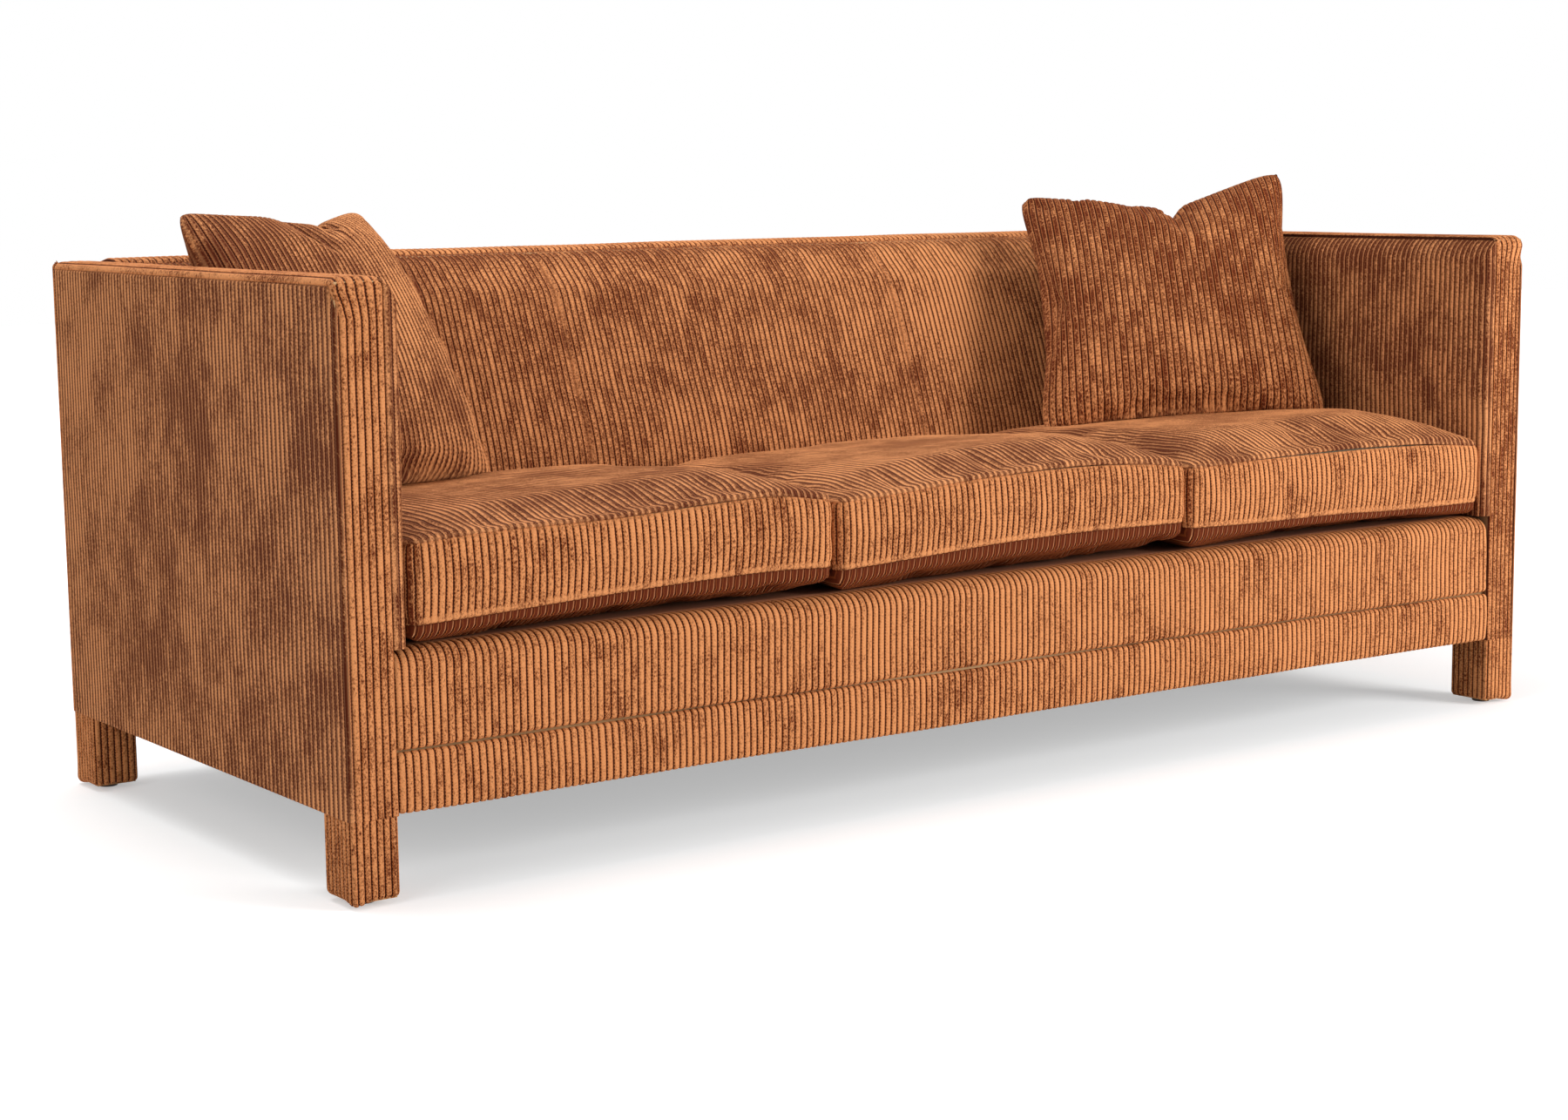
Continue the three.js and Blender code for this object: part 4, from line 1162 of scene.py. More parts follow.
        # towards the front the cloth is pulled, so the ribs grow wider by the slack
        lengths = np.linspace(0, plan.length, 500)
        pace = RIB_PITCH * (1 + self.slack * unit((0.05 - plan.at(lengths)[:, 1]) / 0.5))
        counts = np.concatenate([[0.0], np.cumsum(np.diff(lengths) / pace[1:])])
        grooves = np.interp(np.linspace(0, counts[-1], round(counts[-1]) + 1), counts, lengths)
        seams = (Seam(rise.length), Seam(plan.length, across=True, depth=0.6))
        # the outside panel gets painted light and shade on each rib's flanks
        sheet = RibbedSheet(
            Ribs(grooves), rise.rows(), surface, self.heart, seams,
            relief=self.outer_relief, plot=4 + sign, nap=nap, lean=1.0,
        )
        shop.cover(f"outside_arm_cloth_{self.side.word}", f"outside_arm_cover_{self.side.word}", sheet)

    def inside(self, shop: Workshop) -> None:
        """The inside pad: upright ribs from the deck up, rolling outwards into the top seam.

        The front end turns round a quarter circle into the facing, and its top corner is drawn onto the
        facing's rounding. Behind, each rib starts where it meets the leaning inside back.
        """
        sign = self.side.value
        bottom = ROLL_TOP + 0.001
        top = ARM_HEIGHT - 0.0012
        section = rounded([
            (SEAT_HALF, bottom, 0.0),
            (SEAT_HALF, top, self.roll),
            (ARM_INNER + 0.0015, top, 0.0),
        ], 14)
        plan = rounded([
            (ARM_INNER + 0.0005, FRONT_FACE - 0.001, 0.0),
            (SEAT_HALF, FRONT_FACE - 0.001, self.front_round),
            (SEAT_HALF, BACK_SEAM_Y + 0.003, 0.0),
        ])

        def surface(across: Array, along: Array) -> Array:
            """The pad's points: the section or the plan, whichever stands further out."""
            level = section.at(along)
            place = plan.at(across)
            swell = level[..., 0] - SEAT_HALF
            depth = place[..., 0] - SEAT_HALF
            puff = waves(across, along, 9 + sign, 0.0016) + 0.002
            puff = puff * unit(1 - depth / 0.0125) * inland(along, 0, section.length, 0.08)
            puff = puff * unit((level[..., 1] - 0.495) / 0.06)
            x = SEAT_HALF + np.maximum(swell, depth) - puff
            x = np.minimum(x, ARM_INNER + 0.0015)
            dip = 0.0008 * bell(section.length - along, 0.005)
            front_dip = 0.0012 * bell(across, 0.004)
            y, z = place[..., 1] + front_dip, level[..., 1] - dip
            ahead = np.clip(self.front_corner - (y + HALF_DEPTH), 0, None)
            above = np.clip(self.front_corner - (ARM_HEIGHT - z), 0, None)
            reach = np.maximum(np.hypot(ahead, above), 1e-9)
            over = unit(1 - self.front_corner / reach)
            return np.stack([sign * x, y + ahead * over, z - above * over], -1)

        ribs = Ribs(even_grooves(0, plan.length))
        y = plan.at(ribs.across)[:, 1]
        heights = np.linspace(0.0, section.length, 400)
        face_y, face_z = back_line().points.T
        meets = np.interp(section.at(heights)[:, 1], face_z, face_y)
        meets = np.maximum.accumulate(meets) + np.linspace(0, 1e-6, len(meets))
        starts = np.interp(y - 0.010, meets, heights, left=0.0, right=section.length - 0.012)
        base = section.rows(0.02) / section.length
        rows = lerp(starts[None], section.length, base[:, None])
        seams = (Seam(section.length), Seam(0.0, across=True, width=0.003, depth=0.3))
        # painted shade over the whole pad, and painted light and shade on each rib's flanks
        sheet = RibbedSheet(
            ribs, rows, surface, self.heart, seams,
            relief=self.inner_relief, plot=7 + sign, nap=-0.3, lean=0.8,
        )
        shop.cover(f"inside_arm_cloth_{self.side.word}", f"inside_arm_pad_{self.side.word}", sheet)

    def build(self, shop: Workshop) -> None:
        """Makes the arm's three panels."""
        self.facing(shop)
        self.outside(shop)
        self.inside(shop)


def back_line() -> Path:
    """The inside back's line in Y and Z from the deck to the top seam: the CAD's points on a curve."""
    lean = [(0.0, 0.0), (0.18, 0.239), (0.422, 0.484), (0.656, 0.717), (0.879, 0.912), (1.0, 1.0)]
    roll = [(0.236, 0.326), (0.58, 0.735), (1.0, 1.0)]
    lean_depth, lean_height = 0.116, 0.293
    points = [(BACK_FACE, ROLL_TOP + 0.001), (BACK_FACE, 0.44)]
    points += [(BACK_FACE + fall * lean_depth, 0.485 + up * lean_height) for fall, up in lean]
    points += [(BACK_FACE + lean_depth + fall * 0.093, 0.778 + up * 0.068) for fall, up in roll]
    smooth = catmull(np.array(points), np.linspace(0, len(points) - 1, 90))
    return Path(smooth[np.concatenate([[True], np.diff(smooth[:, 1]) > 1e-6])])


def catmull(values: Array, at: Array, closed: bool = False) -> Array:
    """Reads rows of values at fractional places by the Catmull-Rom cubic.

    Between rows 1 and 2 the curve is 1/2 (2 p1 + (p2 - p0) t + (2 p0 - 5 p1 + 4 p2 - p3) t^2 +
    (3 p1 - p0 - 3 p2 + p3) t^3). At an open end the missing row is mirrored.

    Args:
        values: The rows to read.
        at: Fractional row numbers.
        closed: True where the rows go round.

    Returns:
        One row for each place.
    """
    last = len(values)
    if closed:
        index = np.floor(at).astype(int)
        before, here, after, beyond = (values[(index + step) % last] for step in (-1, 0, 1, 2))
    else:
        ends = np.stack([2 * values[0] - values[1], 2 * values[-1] - values[-2]])
        padded = np.concatenate([ends[:1], values, ends[1:]])
        index = np.clip(np.floor(at).astype(int), 0, last - 2)
        before, here, after, beyond = (padded[index + step] for step in (0, 1, 2, 3))
    share = (at - index).reshape(-1, *([1] * (values.ndim - 1)))
    return 0.5 * (
        2 * here
        + (after - before) * share
        + (2 * before - 5 * here + 4 * after - beyond) * share**2
        + (3 * here - before - 3 * after + beyond) * share**3
    )


@dataclass
class Back:
    """The back: the padded inside, the top strip and the plain outside panel."""

    seam_x: float = 0.357
    seam_dip: float = 0.0035
    strip_stitch: float = 0.011
    top_drop: float = 0.005

    def inside(self, shop: Workshop) -> None:
        """The inside back, in one width with two upright seams, over its leaning profile."""
        line = back_line()
        half = ARM_INNER - 0.0005

        def surface(across: Array, along: Array) -> Array:
            """The back's points: the leaning line carried along X, dipping at its seams."""
            place = line.at(along)
            normal = line.normal(along)
            off_seam = np.abs(across) - self.seam_x
            seams = bell(off_seam, 0.006) + 0.35 * bell(off_seam, 0.03)
            free = unit((line.length - along) / 0.12)
            lift = waves(across, along, 3.0, 0.0022) * free - 0.0035 * bell(line.length - along, 0.006)
            lift = lift - self.seam_dip * seams * np.clip(free * 1.3, 0.3, 1)
            point = place - normal * lift[..., None]
            sunk = self.top_drop * unit(1 - (line.length - along) / 0.05) ** 2
            return np.stack([across, point[..., 0], point[..., 1] - sunk], -1)

        def nap(across: Array, along: Array) -> Array:
            """Painted light at the right, beside the right pillow, and painted shade under the top seam."""
            below = line.length - along
            shadow = 0.7 * bell(below - 0.02, 0.025) + 2.5 * bell(below, 0.004)
            return 0.6 * bell(across - 0.52, 0.2) - 0.25 - shadow

        ends = [-half, -self.seam_x, self.seam_x, half]
        grooves = np.unique(np.concatenate([even_grooves(a, b) for a, b in zip(ends, ends[1:])]))
        heart = (0.0, HALF_DEPTH + 0.1, 0.6)
        seams = (Seam(line.length), *(Seam(x, across=True, width=0.0035, depth=0.5) for x in ends[1:3]))
        rows = line.rows(0.02)
        # painted light and shade on each rib's flanks, gently
        sheet = RibbedSheet(Ribs(grooves), rows, surface, heart, seams, plot=11, nap=nap, lean=0.35)
        shop.cover("inside_back_cloth", "inside_back_pad", sheet)

    def top_strip(self, shop: Workshop) -> None:
        """The top strip: ribs from front to back, with a stitched line near its rear edge."""
        line = rounded([
            (BACK_SEAM_Y, BACK_TOP - 0.001, 0.0),
            (BACK_SEAM_Y + 0.045, BACK_TOP, 0.05),
            (REAR_SEAM_Y, ARM_HEIGHT, 0.0),
        ])
        half = ARM_INNER - 0.0005

        def surface(across: Array, along: Array) -> Array:
            """The strip's points: a swell between its seams, a stitched line and a drop at the front."""
            place = line.at(along)
            puff = 0.0022 * np.sin(np.pi * unit(along / line.length)) + waves(across, along, 8.0, 0.0012)
            stitch = 0.0018 * bell(line.length - self.strip_stitch - along, 0.0018)
            dip = 0.004 * bell(along, 0.005) + 0.0012 * bell(line.length - along, 0.003)
            dip = dip + self.top_drop * unit(1 - along / 0.022) ** 2
            z = place[..., 1] + puff - stitch - dip
            return np.stack([across, place[..., 0], z], -1)

        def nap(across: Array, along: Array) -> Array:
            """Painted light over the strip and painted shade in the front seam."""
            return 0.3 - 2.5 * bell(along, 0.003)

        stitched = line.length - self.strip_stitch + np.linspace(-0.003, 0.003, 5)
        rows = np.unique(np.concatenate([line.rows(0.01), stitched]))
        ribs = Ribs(even_grooves(-half, half))
        seams = (Seam(0.0), Seam(line.length, width=0.003, depth=0.5))
        sheet = RibbedSheet(ribs, rows, surface, (0.0, 0.44, 0.5), seams, plot=13, nap=nap)
        shop.cover("back_top_cloth", "back_top_strip", sheet)

    def outside(self, shop: Workshop) -> None:
        """The outside back: round both rear corners in plan, with its top turned in to the seam."""
        plan = rounded([
            (HALF_WIDTH, REAR_SEAM_Y, 0.0),
            (HALF_WIDTH, HALF_DEPTH, EDGE_ROUND / 2),
            (-HALF_WIDTH, HALF_DEPTH, EDGE_ROUND / 2),
            (-HALF_WIDTH, REAR_SEAM_Y, 0.0),
        ])
        rise = rounded([
            (0.0, LEG_HEIGHT, 0.0),
            (0.0, ARM_HEIGHT, EDGE_ROUND),
            (SEAM_INSET, ARM_HEIGHT, 0.0),
        ])

        def surface(across: Array, along: Array) -> Array:
            """The panel's points: the plan's line carried up, with the top turned in to its seam."""
            place = plan.at(across)
            normal = plan.normal(across)
            turn = rise.at(along)
            free = inland(across, 0.0, plan.length, 0.15)
            free = free * inland(along, 0.0, rise.length, 0.1)
            sag = waves(across, along, 6.5, 0.0018) * free
            inset = turn[..., 0] + STAND_OFF - sag
            x = place[..., 0] - normal[..., 0] * inset
            y = place[..., 1] - normal[..., 1] * inset
            z = turn[..., 1] - 0.003 * bell(rise.length - along, 0.0035)
            return np.stack([x, y, z], -1)

        ribs = Ribs(even_grooves(0, plan.length))
        sheet = RibbedSheet(ribs, rise.rows(0.03), surface, (0.0, 0.0, 0.5), (Seam(rise.length),), plot=15)
        shop.cover("outside_back_cloth", "outside_back_cover", sheet)

    def build(self, shop: Workshop) -> None:
        """Makes the back's three panels."""
        self.inside(shop)
        self.top_strip(shop)
        self.outside(shop)


@dataclass
class PaddedFront:
    """The padded front below the cushions: a lower band and the roll above it."""

    band_swell: float = 0.0016
    roll_round: float = 0.028

    def panel(
        self, shop: Workshop, name: str, node: str, line: Path, swell: float, plot: int, turned: float
    ) -> None:
        """One length of padding: a line in Y and Z carried along X, dipping at its ends.

        Args:
            shop: Dresses the piece.
            name: The piece's name.
            node: The CAD node that it stands for.
            line: The section's line, from its lower seam.
            swell: How far the middle of the face stands out.
            plot: Where its pattern starts.
            turned: How far the ends are drawn down where they meet the arms.
        """
        half = ARM_INNER - 0.0005

        def surface(across: Array, along: Array) -> Array:
            """The padding's points: its line carried along X, swelling in the middle."""
            place = line.at(along)
            normal = line.normal(along)
            ends = half - np.abs(across)
            lift = waves(across, along, plot, 0.0014) * inland(along, 0.0, line.length, 0.03)
            lift = lift - 0.0015 * bell(ends, 0.005) - turned * bell(ends, 0.02) * unit((along - 0.08) / 0.06)
            lift = lift - 0.0004 + swell * np.sin(np.pi * unit(along / line.length))
            point = place - normal * lift[..., None]
            drop = waves(across, 0 * across, plot + 2.0, 0.0012)
            return np.stack([across, point[..., 0], point[..., 1] + drop], -1)

        ribs = Ribs(even_grooves(-half, half))
        seams = tuple(Seam(at, depth=0.6) for at in (0.0, line.length))
        # the band and the roll are painted lighter as a whole
        sheet = RibbedSheet(ribs, line.rows(0.012), surface, (0.0, 0.0, 0.24), seams, plot=plot, nap=0.3)
        shop.cover(name, node, sheet)

    def build(self, shop: Workshop) -> None:
        """Makes the band and the roll."""
        low = LEG_HEIGHT + 0.0005
        band = rounded([
            (FRONT_FACE + 0.011, low, 0.0),
            (FRONT_FACE, low, 0.007),
            (FRONT_FACE - 0.0005, (low + BAND_TOP) / 2, 0.2),
            (FRONT_FACE, BAND_TOP, 0.008),
            (FRONT_FACE + 0.010, BAND_TOP, 0.0),
        ])
        self.panel(shop, "front_band_cloth", "front_band", band, self.band_swell, 17, 0.0)
        roll = rounded([
            (FRONT_FACE + 0.010, BAND_TOP + 0.0005, 0.0),
            (FRONT_FACE, BAND_TOP + 0.0005, 0.009),
            (FRONT_FACE, ROLL_TOP, self.roll_round),
            (-0.4527, ROLL_TOP + 0.0005, 0.0),
        ], 12)
        self.panel(shop, "front_roll_cloth", "front_rail_roll", roll, 0.0, 19, 0.004)


@dataclass
class Leg:
    """One leg's fabric sock: a closed ring of ribs, turned in under the leg, lowest at its outer corner."""

    side: Side
    end: End

    def build(self, shop: Workshop) -> None:
        """Makes the sock.

        The line in plan starts at the facing's seam on the outer corner and goes round. Near the foot it
        shrinks towards the leg's middle, first round a quarter circle and then flat.
        """
        r = EDGE_ROUND
        outer, inner = HALF_WIDTH, ARM_INNER
        near, far = -HALF_DEPTH, -HALF_DEPTH + LEG_DEPTH
        seam = HALF_WIDTH - SEAM_INSET
        corners = [(outer, near, r), (outer, far, r), (inner, far, r), (inner, near, r)]
        plan = rounded([(seam, near, 0.0), *corners, (seam, near, 0.0)])
        front_start = plan.length - (seam - inner) + 2 * r - math.pi * r / 2
        back_part = even_grooves(0, front_start)
        front_part = even_grooves(front_start, plan.length, FACING_PITCH)
        grooves = np.concatenate([back_part, front_part[1:]])
        sx, sy = self.side.value, -self.end.value
        middle = np.array([(outer + inner) / 2, (near + far) / 2])
        foot = 0.0105
        rise = rounded([(0.022, 0.0, 0.0), (0.0, 0.0, foot), (0.0, LEG_HEIGHT - 0.0035, 0.0)])
        corner_at = math.pi * r / 4

        def surface(across: Array, along: Array) -> Array:
            """The sock's points: the ring carried up, drawn in under the leg."""
            across = np.mod(across, plan.length)
            place = plan.at(across)
            turn = rise.at(along)
            reach = np.linalg.norm(place - middle, axis=-1)
            shrink = unit(1 - turn[..., 0] / reach)[..., None]
            gap = np.minimum(np.abs(across - corner_at), plan.length - np.abs(across - corner_at))
            lift = 0.0045 * (1 - bell(gap, 0.022)) * unit(1 - turn[..., 1] / 0.03)
            flat = middle + (place - middle) * shrink
            away = (place - middle) / reach[..., None]
            swell = 0.0012 * bell(gap, 0.012) * unit(1 - turn[..., 1] / 0.03) - STAND_OFF
            flat = flat + away * swell[..., None]
            return np.stack([sx * flat[..., 0], sy * flat[..., 1], turn[..., 1] + 0.0032 + lift], -1)

        heart = (sx * middle[0], sy * middle[1], LEG_HEIGHT / 2)
        plot = 1 + sx if self.end is End.FRONT else 21 + sx
        rows = rise.rows(0.012)
        sheet = RibbedSheet(Ribs(grooves), rows, surface, heart, closed=True, wander=0.0, plot=plot)
        name = f"{self.end.word}_{self.side.word}"
        shop.cover(f"leg_sock_{name}", f"leg_cover_{name}", sheet)


# Cushions and pillows


def inflate(
    points: Array, faces: list[Array], pins: Array, pressure: float, grow: float, cap: float
) -> Array:
    """How far each point of a closed cage moves when air fills it, by cloth simulation.

    Args:
        points: The cage's points.
        faces: Its faces, in arrays.
        pins: Numbers of the points that are held.
        pressure: The pressure inside.
        grow: How much larger the cloth is cut than the cage.
        cap: The farthest that a point may move.

    Returns:
        One displacement for each point.
    """
    scene = bpy.context.scene
    mesh = bpy.data.meshes.new("cage")
    mesh.from_pydata(points.tolist(), [], [tuple(face) for part in faces for face in part.tolist()])
    mesh.update()
    cage = bpy.data.objects.new("cage", mesh)
    scene.collection.objects.link(cage)
    group = cage.vertex_groups.new(name="held")
    group.add([int(pin) for pin in pins], 1.0, "REPLACE")
    cloth = cage.modifiers.new("Cloth", "CLOTH")
    settings = cloth.settings
    settings.quality = 6
    settings.mass = 0.25
    settings.tension_stiffness = settings.compression_stiffness = 18
    settings.shear_stiffness = 6
    settings.bending_stiffness = 0.6
    settings.use_pressure = True
    settings.uniform_pressure_force = pressure
    settings.shrink_min = -grow
    settings.vertex_group_mass = "held"
    settings.effector_weights.gravity = 0
    cloth.point_cache.frame_start, cloth.point_cache.frame_end = 1, 20
    for step in range(1, 21):
        scene.frame_set(step)
    seen = cage.evaluated_get(bpy.context.evaluated_depsgraph_get())
    moved = np.zeros(len(points) * 3, np.float32)
    seen.data.vertices.foreach_get("co", moved)
    delta = moved.reshape(-1, 3).astype(float) - points
    scene.frame_set(1)
    bpy.data.objects.remove(cage)
    bpy.data.meshes.remove(mesh)
    reach = np.linalg.norm(delta, axis=1, keepdims=True)
    log.info("swelled by up to %.1f mm, middle %.1f mm", reach.max() * 1000, np.median(reach) * 1000)
    return delta * np.minimum(1, cap / np.maximum(reach, 1e-9))


@dataclass(frozen=True)
class Lie:
    """How one cushion lies in the photo.

    The front seams are lists of places across, in shares of the half width, and heights in millimetres.
    The rest line is where the belly's front comes down. The crown stands over the seams, more on one
    side by tilt_x and less at the rear by tilt_y. A highlight spot is painted on the top's front left, and
    painted shade darkens the boxing's front corner beside the arm.
    """

    top_seam: tuple[tuple[float, float], ...]
    hem: tuple[tuple[float, float], ...]
    rest: tuple[tuple[float, float], ...]
    rear: float
    crown: float
    power_x: float
    power_y: float
    tilt_x: float
    tilt_y: float
    painted_highlight: float = 0.0
    darkened: float = 0.6

    def front(self, seam: tuple[tuple[float, float], ...], across: Array) -> Array:
        """The height in metres of a front seam at shares of the half width, on a smooth curve."""
        smooth = catmull(np.array(seam), np.linspace(0, len(seam) - 1, 90))
        return np.interp(across, smooth[:, 0], smooth[:, 1]) / 1000

    def dome(self, s: Array, t: Array) -> Array:
        """The crown: ((1 - |s| ^ power_x) (1 - |t| ^ power_y)) ^ 0.72 (1 + tilt_x s) (1 + tilt_y t).

        Args:
            s: The place across, in shares of the half width.
            t: The place back, in shares of the half depth.

        Returns:
            The share of the crown's height.
        """
        s, t = np.clip(s, -1, 1), np.clip(t, -1, 1)
        flat = (1 - np.abs(s) ** self.power_x) * (1 - np.abs(t) ** self.power_y)
        return flat**0.72 * (1 + self.tilt_x * s) * (1 + self.tilt_y * t)


SEAT_LIES = {
    Seat.LEFT: Lie(
        top_seam=((-1.0, 487), (-0.66, 493), (-0.1, 493), (0.35, 500), (0.7, 503), (1.0, 491)),
        hem=((-1.0, 373), (-0.6, 378), (-0.15, 385), (0.35, 390.5), (0.7, 392), (1.0, 388)),
        rest=((-1.0, 347), (0.2, 347), (0.5, 348), (0.8, 354), (1.0, 364)),
        rear=0.471, crown=0.0245, power_x=3.9, power_y=4.3, tilt_x=0.6, tilt_y=-0.53, darkened=1.4,
    ),
    Seat.CENTRE: Lie(
        top_seam=((-1.0, 486), (-0.65, 491), (-0.2, 500), (0.3, 504), (0.7, 499), (1.0, 490)),
        hem=((-1.0, 381), (-0.55, 387.5), (-0.1, 395), (0.4, 398), (1.0, 395)),
        rest=((-1.0, 347), (0.1, 347), (0.4, 349), (0.75, 357), (1.0, 367)),
        rear=0.463, crown=0.0315, power_x=4.4, power_y=4.3, tilt_x=0.6, tilt_y=-0.27, painted_highlight=1.2,
    ),
    Seat.RIGHT: Lie(
        top_seam=((-1.0, 485), (-0.5, 487), (0.1, 487.5), (0.6, 484), (1.0, 475)),
        hem=((-1.0, 384), (-0.55, 380), (0.0, 378.5), (0.45, 373), (1.0, 372)),
        rest=((-1.0, 347), (0.0, 347), (0.5, 347), (1.0, 347)),
        rear=0.470, crown=0.0393, power_x=4.4, power_y=4.2, tilt_x=0.26, tilt_y=-0.43,
    ),
}


@dataclass
class SeatCushion:
    """One loose seat cushion: a crowned top and a hanging belly of cloth, joined by upright boxing."""

    seat: Seat
    lie: Lie
    half_x: float = 0.3556
    half_y: float = 0.3412
    middle_y: float = -0.1515
    low: float = 0.380
    tall: float = 0.105
    inset: float = 0.0
    corner: float = 0.022
    draw_side: float = 0.004
    draw_end: float = 0.003
    droop: float = 0.013
    belly_round: float = 0.042
    cells: int = 26
    levels: int = 4
    reach: float = 0.3567
    deck: float = 0.3462
    seed: float = 0.0
    delta: dict[str, Array] = field(default_factory=dict)

    def limit(self, x: Array) -> Array:
        """Half the depth at a place across: hy - r + sqrt(r^2 - (|x| - hx + r)^2) in the corners."""
        over = np.clip(np.abs(x) - (self.half_x - self.corner), 0, self.corner)
        return self.half_y - self.corner + np.sqrt(np.maximum(self.corner**2 - over**2, 0))

    def drawn(self, x: Array, y: Array) -> tuple[Array, Array]:
        """Draws the sides in between the corners, by up to draw_side and draw_end."""
        s = x / self.half_x
        t = y / self.limit(x)
        x = x * (1 - self.draw_side / self.half_x * (1 - t * t))
        return x, y * (1 - self.draw_end / self.half_y * (1 - s * s))

    def seams(self, x: Array, y: Array) -> tuple[Array, Array]:
        """The heights of the bottom and top seams: as in the photo at the front, even at the rear.

        Behind the front they rise and fall a little, and droop by droop * |x y| ^ 4 at the rear corners.
        """
        s, t = np.clip(x / self.half_x, -1, 1), np.clip(y / self.half_y, -1, 1)
        share = (t + 1) / 2
        wave = waves(x * 1.6 + self.seed, y * 1.6, 4.0 + self.seed, 0.0022) * share
        fall = self.droop * (s * t) ** 4 * share**2
        low = lerp(self.lie.front(self.lie.hem, s), self.low, share) + 0.8 * wave - 0.6 * fall
        high = lerp(self.lie.front(self.lie.top_seam, s), self.lie.rear, share) + wave - fall
        return low + self.inset, high - self.inset

    def face(self, x: Array, share: Array, top: bool) -> Array:
        """The top or the belly at x across and a share of the depth from -1 to 1.

        The top is z = seam + crown * dome. The belly turns down round a quarter circle by what hangs
        below the bottom seam, and lies on the deck behind. At the rim the cloth turns in to the seam.

        Args:
            x: Metres across from the cushion's middle.
            share: The share of the depth.
            top: True for the top and False for the belly.

        Returns:
            The points.
        """
        y = share * self.limit(x)
        px, py = self.drawn(x, y)
        low, high = self.seams(px, py)
        rim = np.minimum(self.half_x - np.abs(x), (1 - np.abs(share)) * self.limit(x))
        turn = bell(rim, 0.0045)
        if top:
            dome = self.lie.dome(px / self.half_x, py / self.half_y)
            z = high + self.lie.crown * dome + 0.0045 * (1 - np.exp(-rim / 0.006)) - 0.0012 * turn
        else:
            round_share = unit(1 - rim / self.belly_round)
            front = self.lie.front(self.lie.rest, px / self.half_x)
            bottom = lerp(front, self.deck - 0.0004, unit(py / self.half_y + 1) ** 0.7) + 0.4 * self.inset
            z = low - np.maximum(low - bottom, 0) * np.sqrt(np.maximum(1 - round_share**2, 0))
        away = np.stack([px / self.half_x, py / self.half_y], -1)
        away = away / np.maximum(np.linalg.norm(away, axis=-1, keepdims=True), 1e-9)
        tuck = (0.0018 if top else 0.0022) * turn
        point = np.stack([px, py], -1) - away * tuck[..., None]
        return np.stack([self.seat.value + point[..., 0], self.middle_y + point[..., 1], z], -1)

    def ring(self) -> tuple[Path, Array]:
        """The rim in plan with the cage's ring number at each of its points.

        Returns:
            The path of (x, y, ring number), before drawing in, and the lengths along it.
        """
        r, hx, hy = self.corner, self.half_x, self.half_y
        turn = np.linspace(0, math.pi / 2, 12)
        arc = np.stack([np.sin(turn), 1 - np.cos(turn)], -1) * r
        cells = self.cells
        front = np.concatenate([
            np.stack([-hx + r - arc[::-1, 0], -hy + arc[::-1, 1]], -1),
            np.stack([hx - r + arc[:, 0], -hy + arc[:, 1]], -1),
        ])
        rear = -front
        number_front = (front[:, 0] / hx + 1) / 2 * cells
        number_rear = 2 * cells + (1 - rear[:, 0] / hx) / 2 * cells
        line = np.concatenate([
            np.column_stack([front, number_front]),
            np.column_stack([rear, number_rear]),
            [[front[0, 0], front[0, 1], 4 * cells]],
        ])
        steps = np.linalg.norm(np.diff(line[:, :2], axis=0), axis=1)
        return Path(line), np.concatenate([[0.0], np.cumsum(steps)])

    def boxing(self, x: Array, y: Array, share: Array) -> Array:
        """The boxing at a rim place and a share of its height, from the bottom seam up.

        It bulges by 4 b share (1 - share) outwards, and turns in at both seams. At the rear a
        panel lies just under the zip's tape.

        Args:
            x: Metres across from the cushion's middle.
            y: Metres back from it.
            share: The share of the height.

        Returns:
            The points.
        """
        px, py = self.drawn(x, y)
        z = lerp(*self.seams(px, py), share)
        over = np.clip(np.abs(x) - (self.half_x - self.corner), 0, self.corner) / self.corner
        side = np.abs(np.abs(x) - self.half_x) < 1e-7
        nx = np.where(side, np.sign(x), np.sign(x) * over)
        ny = np.where(side, 0.0, np.sign(y) * np.sqrt(np.maximum(1 - over**2, 0)))
        up, down = (1 - share) * self.tall, share * self.tall
        bulge = 0.0035 * 4 * share * (1 - share) - 0.0022 * bell(up, 0.0045)
        bulge = bulge - 0.0012 * bell(down - 0.0095, 0.0016) - 0.0025 * bell(down, 0.0014)
        zip_panel = self.round_zip(px, py, z, (ZIP_HALF + 0.010, 0.0165), (0.006, 0.003))
        bulge = bulge - 0.0015 - 0.001 * bell(py - self.half_y, 0.02)
        dented = waves(px * 2.2 + py * 2.2, z * 2.0, self.seed + 1, 0.0009) * unit(4 * share * (1 - share))
        bulge = bulge + dented * self.calm(px, py, z)
        out = lerp(py + ny * bulge, self.zip_line - 0.0006, zip_panel)
        return np.stack([self.seat.value + px + nx * bulge, self.middle_y + out, z], -1)

    @property
    def heart(self) -> Spot:
        """The cushion's middle, which its sheets face away from."""
        return self.seat.value, self.middle_y, 0.43

    @property
    def body(self) -> str:
        """The CAD body that the cushion's pieces ride on."""
        return f"seat_cushion_{self.seat.word}"

    @property
    def zip_line(self) -> float:
        """How far back the zip's tape lies from the middle: just under the slider's straight way."""
        return self.half_y - 0.0044

    @staticmethod
    def round_zip(
        x: Array, y: Array, z: Array, half: tuple[float, float], soft: tuple[float, float]
    ) -> Array:
        """1 in a patch round the zip in the rear boxing, and 0 outside it.

        It is the product of (half - |distance from the zip's middle|) / soft along X and Z, held to 0 to 1.

        Args:
            x: Metres across from the cushion's middle.
            y: Metres back; only the rear is taken.
            z: The height.
            half: The patch's half length and half height.
            soft: How wide its edges fade.

        Returns:
            The share at each place.
        """
        along = unit((half[0] - np.abs(x)) / soft[0])
        return along * unit((half[1] - np.abs(z - ZIP_HEIGHT)) / soft[1]) * (y > 0)

